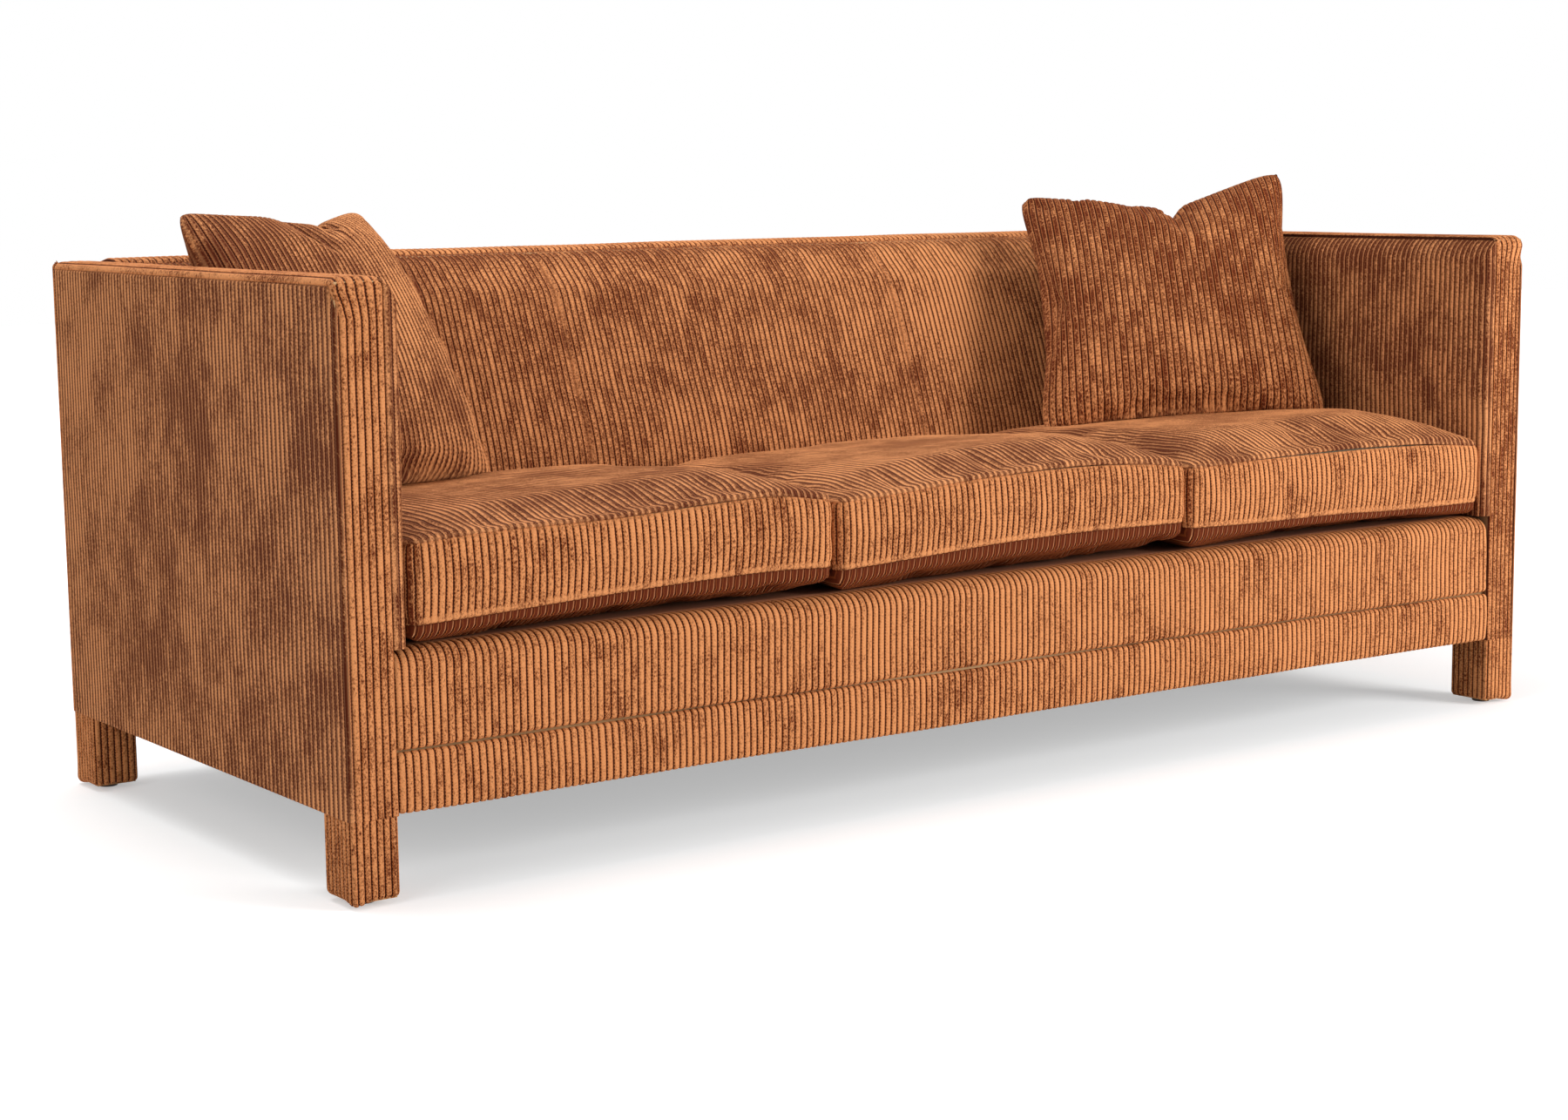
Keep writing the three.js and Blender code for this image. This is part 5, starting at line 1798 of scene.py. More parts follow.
    def calm(self, x: Array, y: Array, z: Array) -> Array:
        """0 round the zip in the rear boxing and 1 elsewhere, so that the zip lies on the CAD's form."""
        return 1 - self.round_zip(x, y, z, (ZIP_HALF + 0.048, 0.040), (0.03, 0.016))

    def cage(self) -> tuple[Array, list[Array], Array]:
        """The coarse cage: top grid, boxing rows and belly grid, sharing their seams.

        Returns:
            Its points, its faces and the numbers of its seam points.
        """
        cells, levels = self.cells, self.levels
        spots = np.linspace(-1, 1, cells + 1)
        x, share = np.meshgrid(spots * self.half_x, spots)
        top = self.face(x, share, True).reshape(-1, 3)
        belly = self.face(x, share, False).reshape(-1, 3)
        number = np.arange((cells + 1) ** 2).reshape(cells + 1, cells + 1)
        ring = np.concatenate([number[0, :-1], number[:-1, -1], number[-1, :0:-1], number[:0:-1, 0]])
        count = len(number.ravel())
        walls = [lerp(belly[ring], top[ring], level / levels) for level in range(1, levels)]
        points = np.concatenate([top, belly, *walls])
        between = [2 * count + k * len(ring) + np.arange(len(ring)) for k in range(levels - 1)]
        rings = [count + ring, *between, ring]
        flat = quads(number)
        sides = [
            np.stack([low, np.roll(low, -1), np.roll(high, -1), high], -1)
            for low, high in zip(rings, rings[1:])
        ]
        return points, [flat, (flat + count)[:, ::-1], *sides], np.concatenate([ring, ring + count])

    def simulate(self) -> None:
        """Fills the cage with air and keeps how far the top, belly and boxing move."""
        points, faces, seams = self.cage()
        delta = inflate(points, faces, seams, pressure=3.0, grow=0.012, cap=0.014)
        cells, levels = self.cells, self.levels
        count = (cells + 1) ** 2
        for part, start in (("top", 0), ("belly", count)):
            moved = delta[start : start + count].reshape(cells + 1, cells + 1, 3)
            spots = np.linspace(-1, 1, cells + 1)
            dome = self.lie.dome(*np.meshgrid(spots, spots))
            moved[..., 2] -= dome * (moved[..., 2] * dome).sum() / (dome * dome).sum()
            self.delta[part] = moved
        walls = 0.4 * delta[2 * count :].reshape(levels - 1, 4 * cells, 3)
        still = np.zeros((1, 4 * cells, 3))
        self.delta["boxing"] = np.concatenate([still, walls, still])

    def read(self, part: str, across: Array, along: Array) -> Array:
        """A part's displacement, read off its grid by cubic curves along both axes."""
        field_rows = catmull(self.delta[part], along)
        return catmull(field_rows.swapaxes(0, 1), across, part == "boxing").swapaxes(0, 1)

    def panel(self, cloth: Cloth, top: bool, plot: int) -> None:
        """Adds the top or the belly to the piece.

        Args:
            cloth: The piece.
            top: True for the top and False for the belly.
            plot: Where its pattern starts.
        """
        ribs = Ribs(even_grooves(-self.half_x, self.half_x))
        ends = np.array([0.0, 0.0022, 0.0045, 0.008, 0.013, 0.02, 0.03, 0.045]) / self.half_y
        middle = np.linspace(-1 + ends[-1], 1 - ends[-1], 36)
        shares = np.concatenate([-1 + ends[:-1], middle, 1 - ends[:-1][::-1]])
        part = "top" if top else "belly"
        columns = (ribs.across / self.half_x + 1) / 2 * self.cells
        moved = self.read(part, columns, (shares + 1) / 2 * self.cells)

        def surface(across: Array, along: Array) -> Array:
            """The face's points, with gentle ridges and what the air adds."""
            held = np.clip(across, -self.half_x, self.half_x)
            base = self.face(held, along / self.half_y, top)
            ridge = waves(base[..., 0] * 1.5, base[..., 1] * 1.5, self.seed + plot, 0.0022)
            rim = np.minimum(self.half_x - np.abs(held), self.half_y - np.abs(along))
            base[..., 2] += ridge * unit(rim / 0.08)
            base = base + moved
            base[..., 2] = np.maximum(base[..., 2], self.deck)
            return base

        def fade(across: Array, along: Array) -> Array:
            """The ribs are pressed flat at the rim."""
            rim = np.minimum(self.half_x - np.abs(across), self.half_y - np.abs(along))
            return seam_fade(rim, 0.0035, 0.7)

        def nap(across: Array, along: Array) -> Array:
            """A painted highlight spot and painted shade over the top, or painted shade over the whole belly,
            which faces down.
            """
            spot = bell(across / self.half_x + 0.55, 0.33) * bell(along / self.half_y + 0.6, 0.3)
            return self.lie.painted_highlight * spot - 0.4 if top else np.full_like(across, -2.6)

        # the top gets painted light and shade on each rib's flanks
        relief, lean = (0.0010, 1.0) if top else (RELIEF, 0.0)
        RibbedSheet(
            ribs, shares * self.half_y, surface, self.heart, fade=fade,
            relief=relief, wander=0.0005, plot=plot, nap=nap, lean=lean,
        ).add_to(cloth)

    def wall(self, cloth: Cloth, plot: int) -> None:
        """Adds the boxing to the piece, a ring of upright ribs.

        Args:
            cloth: The piece.
            plot: Where its pattern starts.
        """
        line, lengths = self.ring()
        ribs = Ribs(even_grooves(0, lengths[-1]))
        height = self.tall
        edge = np.array([0.0, 0.0013, 0.0028, 0.005, 0.0078, 0.0095, 0.0112, 0.014]) / height
        panel = [0.325, 0.345, 0.362, 0.38, 0.45, 0.54, 0.63, 0.7, 0.718, 0.735, 0.755]
        middle = [0.2, 0.27, *panel, 0.8, 0.85]
        shares = np.concatenate([edge, middle, 1 - np.array([0.008, 0.0045, 0.002, 0.0]) / height])
        numbers = np.interp(ribs.across, lengths, line.points[:, 2])
        moved = self.read("boxing", numbers, shares * self.levels)

        def surface(across: Array, along: Array) -> Array:
            """The boxing's points round the rim, with what the air adds away from the zip."""
            around = np.mod(across, lengths[-1])
            x = np.interp(around, lengths, line.points[:, 0])
            y = np.interp(around, lengths, line.points[:, 1])
            base = self.boxing(x, y, along / height)
            calm = self.calm(base[..., 0] - self.seat.value, base[..., 1] - self.middle_y, base[..., 2])
            base = base + moved * calm[..., None]
            base[..., 0] = np.clip(base[..., 0], self.seat.value - self.reach, self.seat.value + self.reach)
            return base

        def fade(across: Array, along: Array) -> Array:
            """The ribs are pressed flat at both seams and under the zip."""
            point = surface(across, along)
            x, y, z = point[..., 0] - self.seat.value, point[..., 1], point[..., 2]
            flat = self.round_zip(x, y, z, (ZIP_HALF + 0.008, 0.020), (0.006, 0.005))
            hem = 1 - 0.7 * unit((0.0105 - along) / 0.002)
            return seam_fade(height - along, 0.0035, 0.7) * hem * (1 - flat)

        def nap(across: Array, along: Array) -> Array:
            """Painted light over the boxing, and painted shade at its front corner beside the arm."""
            point = surface(across, along)
            near = bell(point[..., 0] - self.seat.value + self.half_x, 0.022)
            return 0.3 - self.lie.darkened * near * (point[..., 1] < self.middle_y)

        RibbedSheet(
            ribs, shares * height, surface, self.heart, fade=fade, closed=True, wander=0.0, plot=plot, nap=nap
        ).add_to(cloth)

    def core(self, shop: Workshop) -> None:
        """The foam core: the same form on a coarser cage, held in from the cover."""
        gap = 0.014
        raised = tuple((place, height + 6) for place, height in self.lie.rest)
        slim_lie = replace(self.lie, crown=self.lie.crown - gap / 2, rest=raised)
        slim = SeatCushion(
            self.seat, slim_lie, half_x=self.half_x - gap, half_y=self.half_y - gap, inset=gap,
            deck=self.deck + gap / 2, cells=16, levels=3, seed=self.seed,
        )
        points, faces, _ = slim.cage()
        coords = points[:, :2] - points[:, :2].min(0)
        foam = Cloth()
        foam.add(points, faces, coords)
        piece = foam.build(f"seat_foam_{self.seat.word}")
        subdivide = piece.modifiers.new("Subdivision", "SUBSURF")
        subdivide.levels = subdivide.render_levels = 1
        shop.dress(piece, Slot.FOAM, self.body, f"seat_cushion_core_{self.seat.word}")

    def zip_tape(self, shop: Workshop) -> None:
        """The zip in the rear boxing: two tapes and a row of small teeth.

        The tapes are two thin strips, and each tooth is a six-sided bar across the middle line.
        """
        middle, depth = self.seat.value, self.middle_y + self.zip_line
        half_gap, width, thickness = 0.0006, 0.012, 0.0008
        tape = Cloth()
        for sign in (-1, 1):

            def surface(across: Array, along: Array, sign: int = sign) -> Array:
                """One tape's points, level with the zip's line."""
                height = ZIP_HEIGHT + sign * (half_gap + along)
                return np.stack([middle + across, np.full_like(across, depth), height], -1)

            columns, rows = np.linspace(-ZIP_HALF, ZIP_HALF, 60), np.linspace(0, width, 4)
            PlainSheet(columns, rows, surface, (middle, 0.0, ZIP_HEIGHT), thickness).add_to(tape)
        shop.dress(tape.build(f"seat_zip_tape_{self.seat.word}"), Slot.DECK, self.body)
        sides, radius, half_tooth, stagger = 6, 0.0007, 0.0016, 0.0005
        places = np.linspace(0.003 - ZIP_HALF, ZIP_HALF - 0.003, 176)
        angles = np.arange(sides) * FULL_TURN / sides
        ring = np.stack([np.cos(angles), np.sin(angles)], -1) * radius
        ends = np.array([-half_tooth, half_tooth])
        shifts = np.where(np.arange(len(places)) % 2, stagger, -stagger)
        bars = np.zeros((len(places), 2, sides, 3))
        bars[..., 0] = middle + places[:, None, None] + ring[None, None, :, 0]
        bars[..., 1] = depth + 0.0002 + ring[None, None, :, 1]
        bars[..., 2] = ZIP_HEIGHT + ends[None, :, None] + shifts[:, None, None]
        first = np.arange(len(places))[:, None] * 2 * sides
        low, high = first + np.arange(sides), first + sides + np.arange(sides)
        around = np.stack([low, np.roll(low, -1, 1), np.roll(high, -1, 1), high], -1).reshape(-1, 4)
        teeth = Cloth()
        teeth.add(bars.reshape(-1, 3), [around, low[:, ::-1], high], bars.reshape(-1, 3)[:, :2])
        shop.dress(teeth.build(f"seat_zip_teeth_{self.seat.word}"), Slot.BRASS, self.body)

    def build(self, shop: Workshop) -> None:
        """Makes the cover, its core and its zip."""
        self.seed = 1.0 + self.seat.value * 3.1
        self.simulate()
        order = list(Seat).index(self.seat)
        cloth = Cloth()
        self.panel(cloth, True, 23 + order)
        self.panel(cloth, False, 27 + order)
        self.wall(cloth, 31 + order)
        piece = cloth.build(f"seat_cushion_cloth_{self.seat.word}")
        shop.dress(piece, Slot.FABRIC, self.body, f"seat_cushion_cover_{self.seat.word}")
        self.core(shop)
        self.zip_tape(shop)


def pressed(points: Array, neighbour: bpy.types.Object, way: Spot) -> Array:
    """Moves points that lie inside a neighbour back against the way until they are just off its surface.

    Args:
        points: The points to move.
        neighbour: The piece that they rest on.
        way: The direction in which they press.

    Returns:
        The points, moved back by start - hit + gap where a ray along the way meets the surface too soon.
    """
    start, gap = 0.5, 0.0004
    reach, push = start + gap, Vector(way)
    mesh = neighbour.data
    corners = [vertex.co for vertex in mesh.vertices]
    tree = BVHTree.FromPolygons(corners, [list(face.vertices) for face in mesh.polygons])
    hits = [tree.ray_cast(Vector(point), push, reach)[3] for point in points - np.array(way) * start]
    free = np.array([reach if hit is None else hit for hit in hits])
    return points - np.outer(reach - free, way)


# How slim a pillow is before it is filled, as a share of its thickness
SLIM = 0.9

# The creases that run down from a pillow's notch: how far each slants, and its depth
CREASES = ((-0.55, 0.004), (0.08, 0.007), (0.6, 0.004))


@dataclass
class ThrowPillow:
    """One throw pillow: two ribbed faces sewn along their edges, filled until they swell.

    The corners are where the photo shows them. Light and shade are painted on the faces, changing towards
    the lower edge, the top and the left, and the lean paints light and shade on each rib's flanks. The
    neighbours are the pieces that it rests on, and which way.
    """

    side: Side
    corners: dict[str, Spot]
    half_thickness: float = 0.076
    edge_draw: float = 0.03
    right_draw: float = 0.03
    corner_draw: float = 0.045
    reach: float = 0.035
    foot: float = 0.1
    notch_at: float = 0.12
    notch: float = 0.23
    pinch: float = 0.06
    # painted light and shade towards the lower edge, the top and the left
    nap_low: float = -0.3
    nap_high: float = -0.8
    nap_left: float = 0.0
    zip_sink: float = 0.0042
    # painted light and shade on each rib's flanks
    lean: float = 0.0
    cells: int = 34
    size: float = 0.49
    neighbours: tuple[tuple[str, Spot], ...] = ()
    delta: dict[bool, Array] = field(default_factory=dict)

    def places(self) -> dict[str, Array]:
        """The four corners as arrays."""
        return {name: np.array(place) for name, place in self.corners.items()}

    def outward(self) -> Array:
        """The direction out of the pillow's front: its way across crossed with its way up."""
        c = self.places()
        across = c["low_right"] + c["high_right"] - c["low_left"] - c["high_left"]
        rise = c["high_left"] + c["high_right"] - c["low_left"] - c["low_right"]
        way = np.cross(across, rise)
        return way / np.linalg.norm(way)

    def form(self, u: Array, v: Array, front: bool, swell: float, shrink: float = 1.0) -> Array:
        """A point of the pillow at u across and v up, both from -1 to 1.

        The corners are joined by straight lines. The edges are drawn in by edge_draw * (1 - u^2), at the
        right by right_draw, and the corners are rounded by corner_draw * (u v)^14. Near the rim both axes
        stretch by reach, and the foot lets the lower edge sink to the cushion. The top edge falls to a
        notch from both corners, and the faces stand out by swell * sqrt((1 - u^2) (1 - v^2)).

        Args:
            u: The place across.
            v: The place up.
            front: True for the front face and False for the back.
            swell: How far the middle of the face stands out.
            shrink: The size's share.

        Returns:
            The points.
        """
        side = np.where(u < self.notch_at, (u + 1) / (1 + self.notch_at), (1 - u) / (1 - self.notch_at))
        dent = self.notch * unit(side) ** 1.3 + self.pinch * bell(u - self.notch_at, 0.07)
        tip = 1 - self.corner_draw * (u * v) ** 14
        draw = np.where(u > 0, self.right_draw, self.edge_draw)
        x = shrink * u * tip * (1 - draw * (1 - v * v)) * (1 + self.reach * u**6)
        y = v * tip * (1 - self.edge_draw * (1 - u * u))
        y = y * (1 + self.reach * v**6 + self.foot * np.maximum(-v, 0) ** 6)
        y = shrink * (y - dent * np.maximum(v, 0) ** 3)
        c = self.places()
        low = lerp(c["low_left"], c["low_right"], ((1 + x) / 2)[..., None])
        high = lerp(c["high_left"], c["high_right"], ((1 + x) / 2)[..., None])
        puff = np.sqrt(np.maximum((1 - u * u) * (1 - v * v), 0))
        out = self.outward() * (1 if front else -1)
        return lerp(low, high, ((1 + y) / 2)[..., None]) + out * (swell * puff)[..., None]

    def cage(
        self, swell: float, shrink: float = 1.0, cells: int | None = None
    ) -> tuple[Array, list[Array], Array]:
        """A cage of two grids that share their edge.

        Args:
            swell: How far the faces stand out.
            shrink: The size's share.
            cells: Cells along each side.

        Returns:
            Its points, its faces, and the grid of point numbers of the back face.
        """
        cells = cells or self.cells
        spots = np.linspace(-1, 1, cells + 1)
        u, v = np.meshgrid(spots, spots)
        front = self.form(u, v, True, swell, shrink)
        back = self.form(u, v, False, swell, shrink)[1:-1, 1:-1].reshape(-1, 3)
        number = np.arange((cells + 1) ** 2).reshape(cells + 1, cells + 1)
        behind = number.copy()
        behind[1:-1, 1:-1] = number.size + np.arange((cells - 1) ** 2).reshape(cells - 1, cells - 1)
        return np.concatenate([front.reshape(-1, 3), back]), [quads(number), quads(behind)[:, ::-1]], behind

    def simulate(self) -> None:
        """Fills a slightly slack cage with air and keeps how far each face moves."""
        points, faces, behind = self.cage(self.half_thickness * SLIM)
        cells = self.cells
        number = np.arange((cells + 1) ** 2).reshape(cells + 1, cells + 1)
        pins = [number[0, 0], number[0, -1], number[-1, 0], number[-1, -1], number[-1, cells // 2]]
        delta = inflate(points, faces, np.array(pins), pressure=3.5, grow=0.03, cap=0.016)
        total = delta + 0.4 * (self.cage(self.half_thickness)[0] - points)
        self.delta[True] = total[number]
        self.delta[False] = total[behind]

    def calm(self, u: Array, v: Array) -> Array:
        """0 round the zip in the back and 1 elsewhere, so that the zip lies on the CAD's form."""
        return 1 - unit((0.62 - np.abs(u)) / 0.2) * unit((0.24 - np.abs(v + 0.7)) / 0.12)

    def build(self, shop: Workshop) -> None:
        """Makes the cover, pressed flat against its neighbours, and the insert.

        Both faces are read at the same columns and rows, so they share their edge exactly.
        """
        self.simulate()
        ribs = Ribs(even_grooves(-self.size / 2, self.size / 2))
        u = ribs.across / (self.size / 2)
        ends = np.array([0.0, 0.006, 0.014, 0.026, 0.045])
        v = np.concatenate([-1 + ends, np.linspace(-0.93, 0.93, 56), (1 - ends)[::-1]])
        grid_u, grid_v = np.meshgrid(u, v)
        cells = self.cells
        rim = np.minimum(1 - np.abs(grid_u), 1 - np.abs(grid_v)) * self.size / 2
        fade = seam_fade(rim, 0.006, 1.0)
        sink = RELIEF * (1 - ribs.rise[None] * fade - SEAM_LEVEL * (1 - fade))
        faces_points = []
        for front in (True, False):
            moved = catmull(self.delta[front], (v + 1) / 2 * cells).swapaxes(0, 1)
            moved = catmull(moved, (u + 1) / 2 * cells).swapaxes(0, 1)
            weight = np.ones_like(grid_u) if front else self.calm(grid_u, grid_v)
            slim = self.form(grid_u, grid_v, front, self.half_thickness * SLIM)
            full = self.form(grid_u, grid_v, front, self.half_thickness)
            base = slim + moved * weight[..., None] + (full - slim) * (1 - weight[..., None])
            normals = grid_normals(base) * (1 if front else -1)
            down = 1 - grid_v
            off_notch = grid_u - self.notch_at
            width = 0.022 + 0.03 * down
            crease = sum(depth * bell(off_notch - slope * down, width) for slope, depth in CREASES)
            base = base - normals * (crease * unit(1 - down / 0.5) * unit(rim / 0.01))[..., None]
            base = base - normals * (self.zip_sink * (1 - weight))[..., None]
            faces_points.append(base - normals * sink[..., None])
        rows, columns = grid_u.shape
        number = np.arange(rows * columns).reshape(rows, columns)
        twins = np.arange(2 * rows * columns)
        edge = np.ones((rows, columns), bool)
        edge[1:-1, 1:-1] = False
        twins[rows * columns + number[edge]] = number[edge]
        plot = 37 if self.side is Side.LEFT else 41
        count = np.repeat(ribs.count[None], rows, 0) + PLOT_RIBS * plot
        along = grid_v * self.size / 2 + PLOT_METRES * plot
        coords = np.concatenate([np.stack([rib, along], -1).reshape(-1, 2) for rib in (count, count + 60)])
        cloth = Cloth()
        points = np.concatenate([part.reshape(-1, 3) for part in faces_points])
        for name, way in self.neighbours:
            points = pressed(points, bpy.data.objects[name], way)
        # painted light and shade over the faces
        nap = lerp(self.nap_low, self.nap_high, unit((grid_v + 0.9) / 1.1))
        nap = nap + self.nap_left * unit((self.notch_at - 0.1 - grid_u) / 0.2)
        pile = np.stack([nap, np.full_like(nap, self.lean), fade], -1).reshape(-1, 3)
        faces = [quads(number), quads(number + rows * columns)[:, ::-1]]
        cloth.add(points, faces, coords, twins, np.concatenate([pile, pile]))
        word = self.side.word
        piece = cloth.build(f"pillow_cloth_{word}")
        shop.dress(piece, Slot.FABRIC, f"throw_pillow_{word}", f"pillow_cover_{word}")
        self.insert(shop)

    def insert(self, shop: Workshop) -> None:
        """The feather insert: a smaller and slimmer cage, subdivided."""
        word = self.side.word
        points, faces, _ = self.cage(self.half_thickness * 0.82, shrink=0.88, cells=18)
        filling = Cloth()
        filling.add(points, faces, points[:, :2])
        insert = filling.build(f"pillow_feathers_{word}")
        subdivide = insert.modifiers.new("Subdivision", "SUBSURF")
        subdivide.levels = subdivide.render_levels = 1
        shop.dress(insert, Slot.FEATHER, f"throw_pillow_{word}", f"pillow_insert_{word}")


PILLOW_CORNERS = {
    Side.LEFT: {
        "low_left": (-1.0637, -0.0700, 0.5121),
        "low_right": (-0.6153, 0.1001, 0.5072),
        "high_left": (-1.0656, 0.2276, 0.9149),
        "high_right": (-0.6996, 0.3467, 0.9100),
    },
    Side.RIGHT: {
        "low_left": (0.5154, 0.0500, 0.5133),
        "low_right": (0.9726, -0.2004, 0.5310),
        "high_left": (0.6795, 0.3026, 0.9072),
        "high_right": (1.0543, 0.0027, 0.9552),
    },
}


PILLOW_NOTCHES = {
    Side.LEFT: {
        "notch_at": 0.35, "notch": 0.09, "pinch": 0.03, "right_draw": -0.04,
        # the left pillow: painted shade at its left, and painted light and shade on its ribs' flanks
        "nap_low": -0.1, "nap_high": -0.1, "nap_left": -0.8, "lean": 0.8,
    },
    Side.RIGHT: {},
}


@dataclass
class Deck:
    """What lies under the cushions: deck cloth over foam, and the dust cover below."""

    def build(self, shop: Workshop) -> None:
        """Makes the deck cloth, the deck foam and the dust cover as thin slabs with soft waves."""
        half = ARM_INNER - 0.0005
        front, rear = -0.4522, BACK_FACE - 0.0005
        x = np.linspace(-half, half, 121)
        y = np.linspace(front, rear, 41)

        def cover(across: Array, along: Array) -> Array:
            """The deck cloth's points, sagging a little."""
            sag = waves(across * 1.4, along * 1.4, 2.0, 0.0006) - 0.0012
            return np.stack([across, along, ROLL_TOP + sag], -1)

        def foam(across: Array, along: Array) -> Array:
            """The deck foam's points."""
            return np.stack([across, along, ROLL_TOP - 0.0036 + waves(across, along, 2.0, 0.0002)], -1)

        def dust(across: Array, along: Array) -> Array:
            """The dust cover's points, held at its edges."""
            edge = inland(along, -0.478, 0.488, 0.1) * unit((1.06 - np.abs(across)) / 0.1)
            return np.stack([across, along, 0.1238 + (waves(across, along, 1.0, 0.0005) - 0.0015) * edge], -1)

        for name, node, slot, surface, thickness, middle in (
            ("deck_cloth_sheet", "deck_cloth", Slot.DECK, cover, 0.0015, 0.3),
            ("deck_foam", "deck_pad", Slot.FOAM, foam, 0.0172, 0.3),
        ):
            cloth = Cloth()
            PlainSheet(x, y, surface, (0.0, -0.1, middle), thickness).add_to(cloth)
            piece = shop.dress(cloth.build(name), slot, "frame", node)
        cloth = Cloth()
        wide, near, far = 1.0932, -0.480, 0.489
        x, y = np.linspace(-wide, wide, 81), np.linspace(near, far, 41)
        PlainSheet(x, y, dust, (0.0, 0.0, 0.4), 0.0008).add_to(cloth)
        piece = shop.dress(cloth.build("dust_cover_sheet"), Slot.CAMBRIC, "frame", "dust_cover")


@dataclass
class HiddenFrame:
    """The CAD nodes that stay: posts, rails, boards, springs, glides and sliders."""

    def build(self, shop: Workshop) -> None:
        """Gives each its finish."""
        plain = {
            Slot.WOOD: ["front_seat_rail", "rear_seat_rail", "rear_base_rail", "back_top_rail"],
            Slot.STEEL: ["seat_springs"],
            Slot.BOARD: [],
            Slot.NYLON: [],
            Slot.BRASS: [f"seat_zip_slider_{seat.word}" for seat in Seat],
        }
        for side in Side:
            rails = ("side_seat_rail", "arm_top_rail", "seat_stretcher", "back_slat")
            plain[Slot.WOOD] += [f"{rail}_{side.word}" for rail in rails]
            plain[Slot.BOARD].append(f"inner_arm_board_{side.word}")
            plain[Slot.NYLON].append(f"pillow_zip_slider_{side.word}")
            for end in End:
                kinds = ("leg_post", "corner_block")
                plain[Slot.WOOD] += [f"{kind}_{end.word}_{side.word}" for kind in kinds]
                plain[Slot.NYLON].append(f"glide_{end.word}_{side.word}")
        for slot, names in plain.items():
            for name in names:
                shop.paint(name, slot)


# Studio


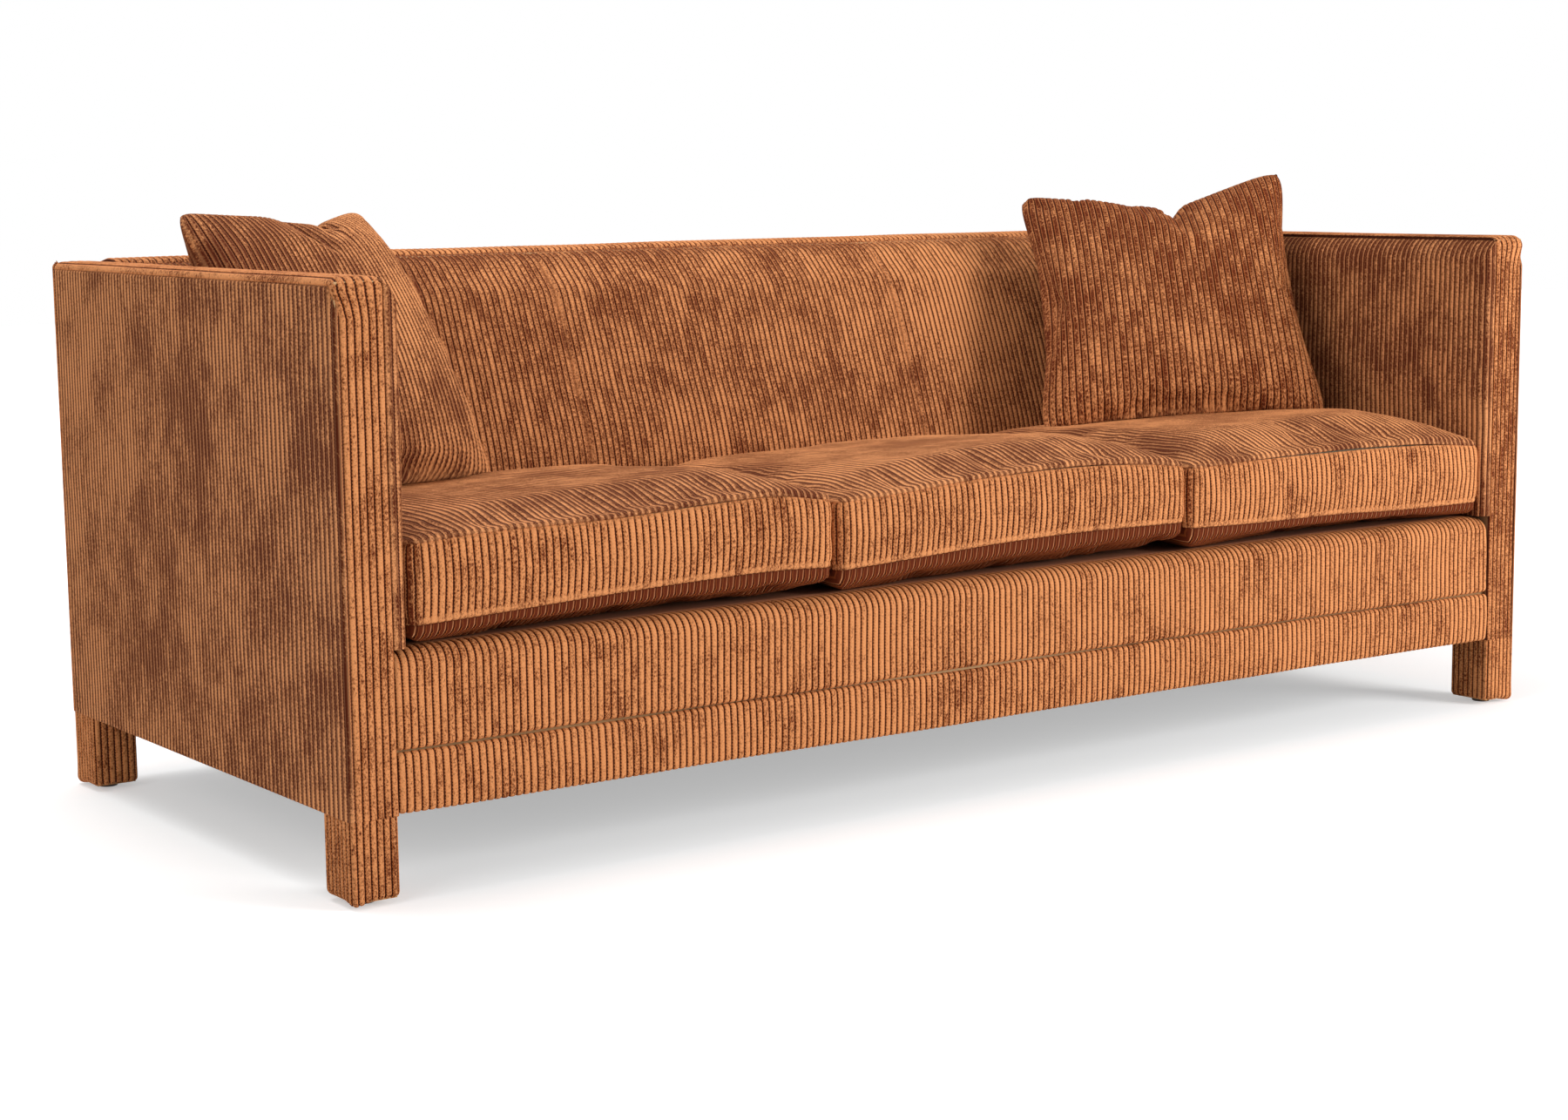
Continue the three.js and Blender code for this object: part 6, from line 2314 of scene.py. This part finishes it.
@dataclass
class Studio:
    """The floor, the world, the lamps and the camera at the photograph's place."""

    place: Spot = (-2.7602, -3.7305, 0.9756)
    yaw: float = 0.6185227
    pitch: float = -0.1416353
    roll: float = -0.0114070
    lens: float = 63.0667

    def camera(self) -> None:
        """The camera: its way forward is (sin yaw cos pitch, cos yaw cos pitch, sin pitch), then rolled."""
        level = math.cos(self.pitch)
        forward = Vector((math.sin(self.yaw) * level, math.cos(self.yaw) * level, math.sin(self.pitch)))
        right = forward.cross(Vector((0, 0, 1))).normalized()
        up = right.cross(forward)
        turned_right = math.cos(self.roll) * right + math.sin(self.roll) * up
        turned_up = math.cos(self.roll) * up - math.sin(self.roll) * right
        data = bpy.data.cameras.new("photo_camera")
        data.lens = self.lens
        data.sensor_fit = "HORIZONTAL"
        data.sensor_width = 36.0
        data.clip_end = 60.0
        camera = bpy.data.objects.new("photo_camera", data)
        bpy.context.scene.collection.objects.link(camera)
        basis = Matrix((turned_right, turned_up, -forward)).transposed().to_4x4()
        basis.translation = Vector(self.place)
        camera.matrix_world = basis
        bpy.context.scene.camera = camera

    def lamp(self, name: str, place: Spot, aim: Spot, size: float, power: float) -> None:
        """A square area lamp at a place that faces a point."""
        data = bpy.data.lights.new(name, "AREA")
        data.shape = "SQUARE"
        data.size = size
        data.energy = power
        lamp = bpy.data.objects.new(name, data)
        bpy.context.scene.collection.objects.link(lamp)
        lamp.location = place
        lamp.rotation_euler = (Vector(aim) - Vector(place)).to_track_quat("-Z", "Y").to_euler()

    def white(self, nodes: Nodes) -> Socket:
        """1 for rays from the camera, off gloss or through glass, and 0 for the rest."""
        path = nodes.add("ShaderNodeLightPath")
        seen = nodes.math("MAXIMUM", path.outputs["Is Camera Ray"], path.outputs["Is Glossy Ray"])
        return nodes.math("MAXIMUM", seen, path.outputs["Is Transmission Ray"])

    def floor(self) -> None:
        """A wide floor that keeps the sofa's shadow and shows white round it."""
        mesh = bpy.data.meshes.new("studio_floor")
        span = 14.0
        corners = [(x * span, y * span, 0) for x, y in ((-1, -1), (1, -1), (1, 1), (-1, 1))]
        mesh.from_pydata(corners, [], [(0, 1, 2, 3)])
        floor = bpy.data.objects.new("studio_floor", mesh)
        bpy.context.scene.collection.objects.link(floor)
        material, nodes, shader = new_material("studio_floor")
        shader.inputs["Base Color"].default_value = (0.8, 0.8, 0.8, 1)
        shader.inputs["Roughness"].default_value = 0.9
        shader.inputs["Emission Color"].default_value = (1, 1, 1, 1)
        place = nodes.place
        length = nodes.add("ShaderNodeVectorMath", operation="LENGTH", _0=place)
        glow = nodes.ramp(length.outputs["Value"], 1.9, 3.4, 0.4, 1.0)
        nodes.feed(shader.inputs["Emission Strength"], nodes.times(self.white(nodes), glow))
        mesh.materials.append(material)

    def world(self) -> None:
        """An even pale light from all round, which the camera sees as white."""
        world = bpy.data.worlds.new("studio_world")
        bpy.context.scene.world = world
        world.use_nodes = True
        nodes = Nodes(world.node_tree)
        background = world.node_tree.nodes["Background"]
        background.inputs["Color"].default_value = (1, 1, 1, 1)
        strength = nodes.times_add(self.white(nodes), 0.65, 0.35)
        nodes.feed(background.inputs["Strength"], strength)

    def build(self) -> None:
        """Makes the stage."""
        self.camera()
        self.floor()
        self.world()
        self.lamp("overhead", place=(-0.9, 0.9, 4.2), aim=(0.0, 0.0, 0.4), size=3.2, power=125.0)
        self.lamp("front_key", place=(3.2, -4.8, 2.0), aim=(0.3, 0.0, 0.4), size=2.4, power=285.0)
        self.lamp("left_fill", place=(-4.6, -1.6, 2.2), aim=(-1.0, 0.0, 0.4), size=2.4, power=40.0)
        bpy.context.scene.view_settings.view_transform = "Standard"


def main() -> None:
    """Builds the sofa's sub-assemblies in order, then the studio round it."""
    logging.basicConfig(level=logging.INFO, format="%(name)s %(message)s")
    shop = Workshop(finishes())
    HiddenFrame().build(shop)
    for side in Side:
        # the right arm's facing is painted darker than the left one
        Arm(side, front_nap=0.15 if side is Side.LEFT else -0.3).build(shop)
        for end in End:
            Leg(side, end).build(shop)
    Back().build(shop)
    PaddedFront().build(shop)
    Deck().build(shop)
    for seat in Seat:
        SeatCushion(seat, SEAT_LIES[seat]).build(shop)
    for side in Side:
        near = ((f"seat_cushion_cloth_{side.word}", (0.0, 0.0, -1.0)), ("inside_back_cloth", (0.0, 1.0, 0.0)))
        ThrowPillow(side, PILLOW_CORNERS[side], neighbours=near, **PILLOW_NOTCHES[side]).build(shop)
    Studio().build()


if __name__ == "__main__":
    main()
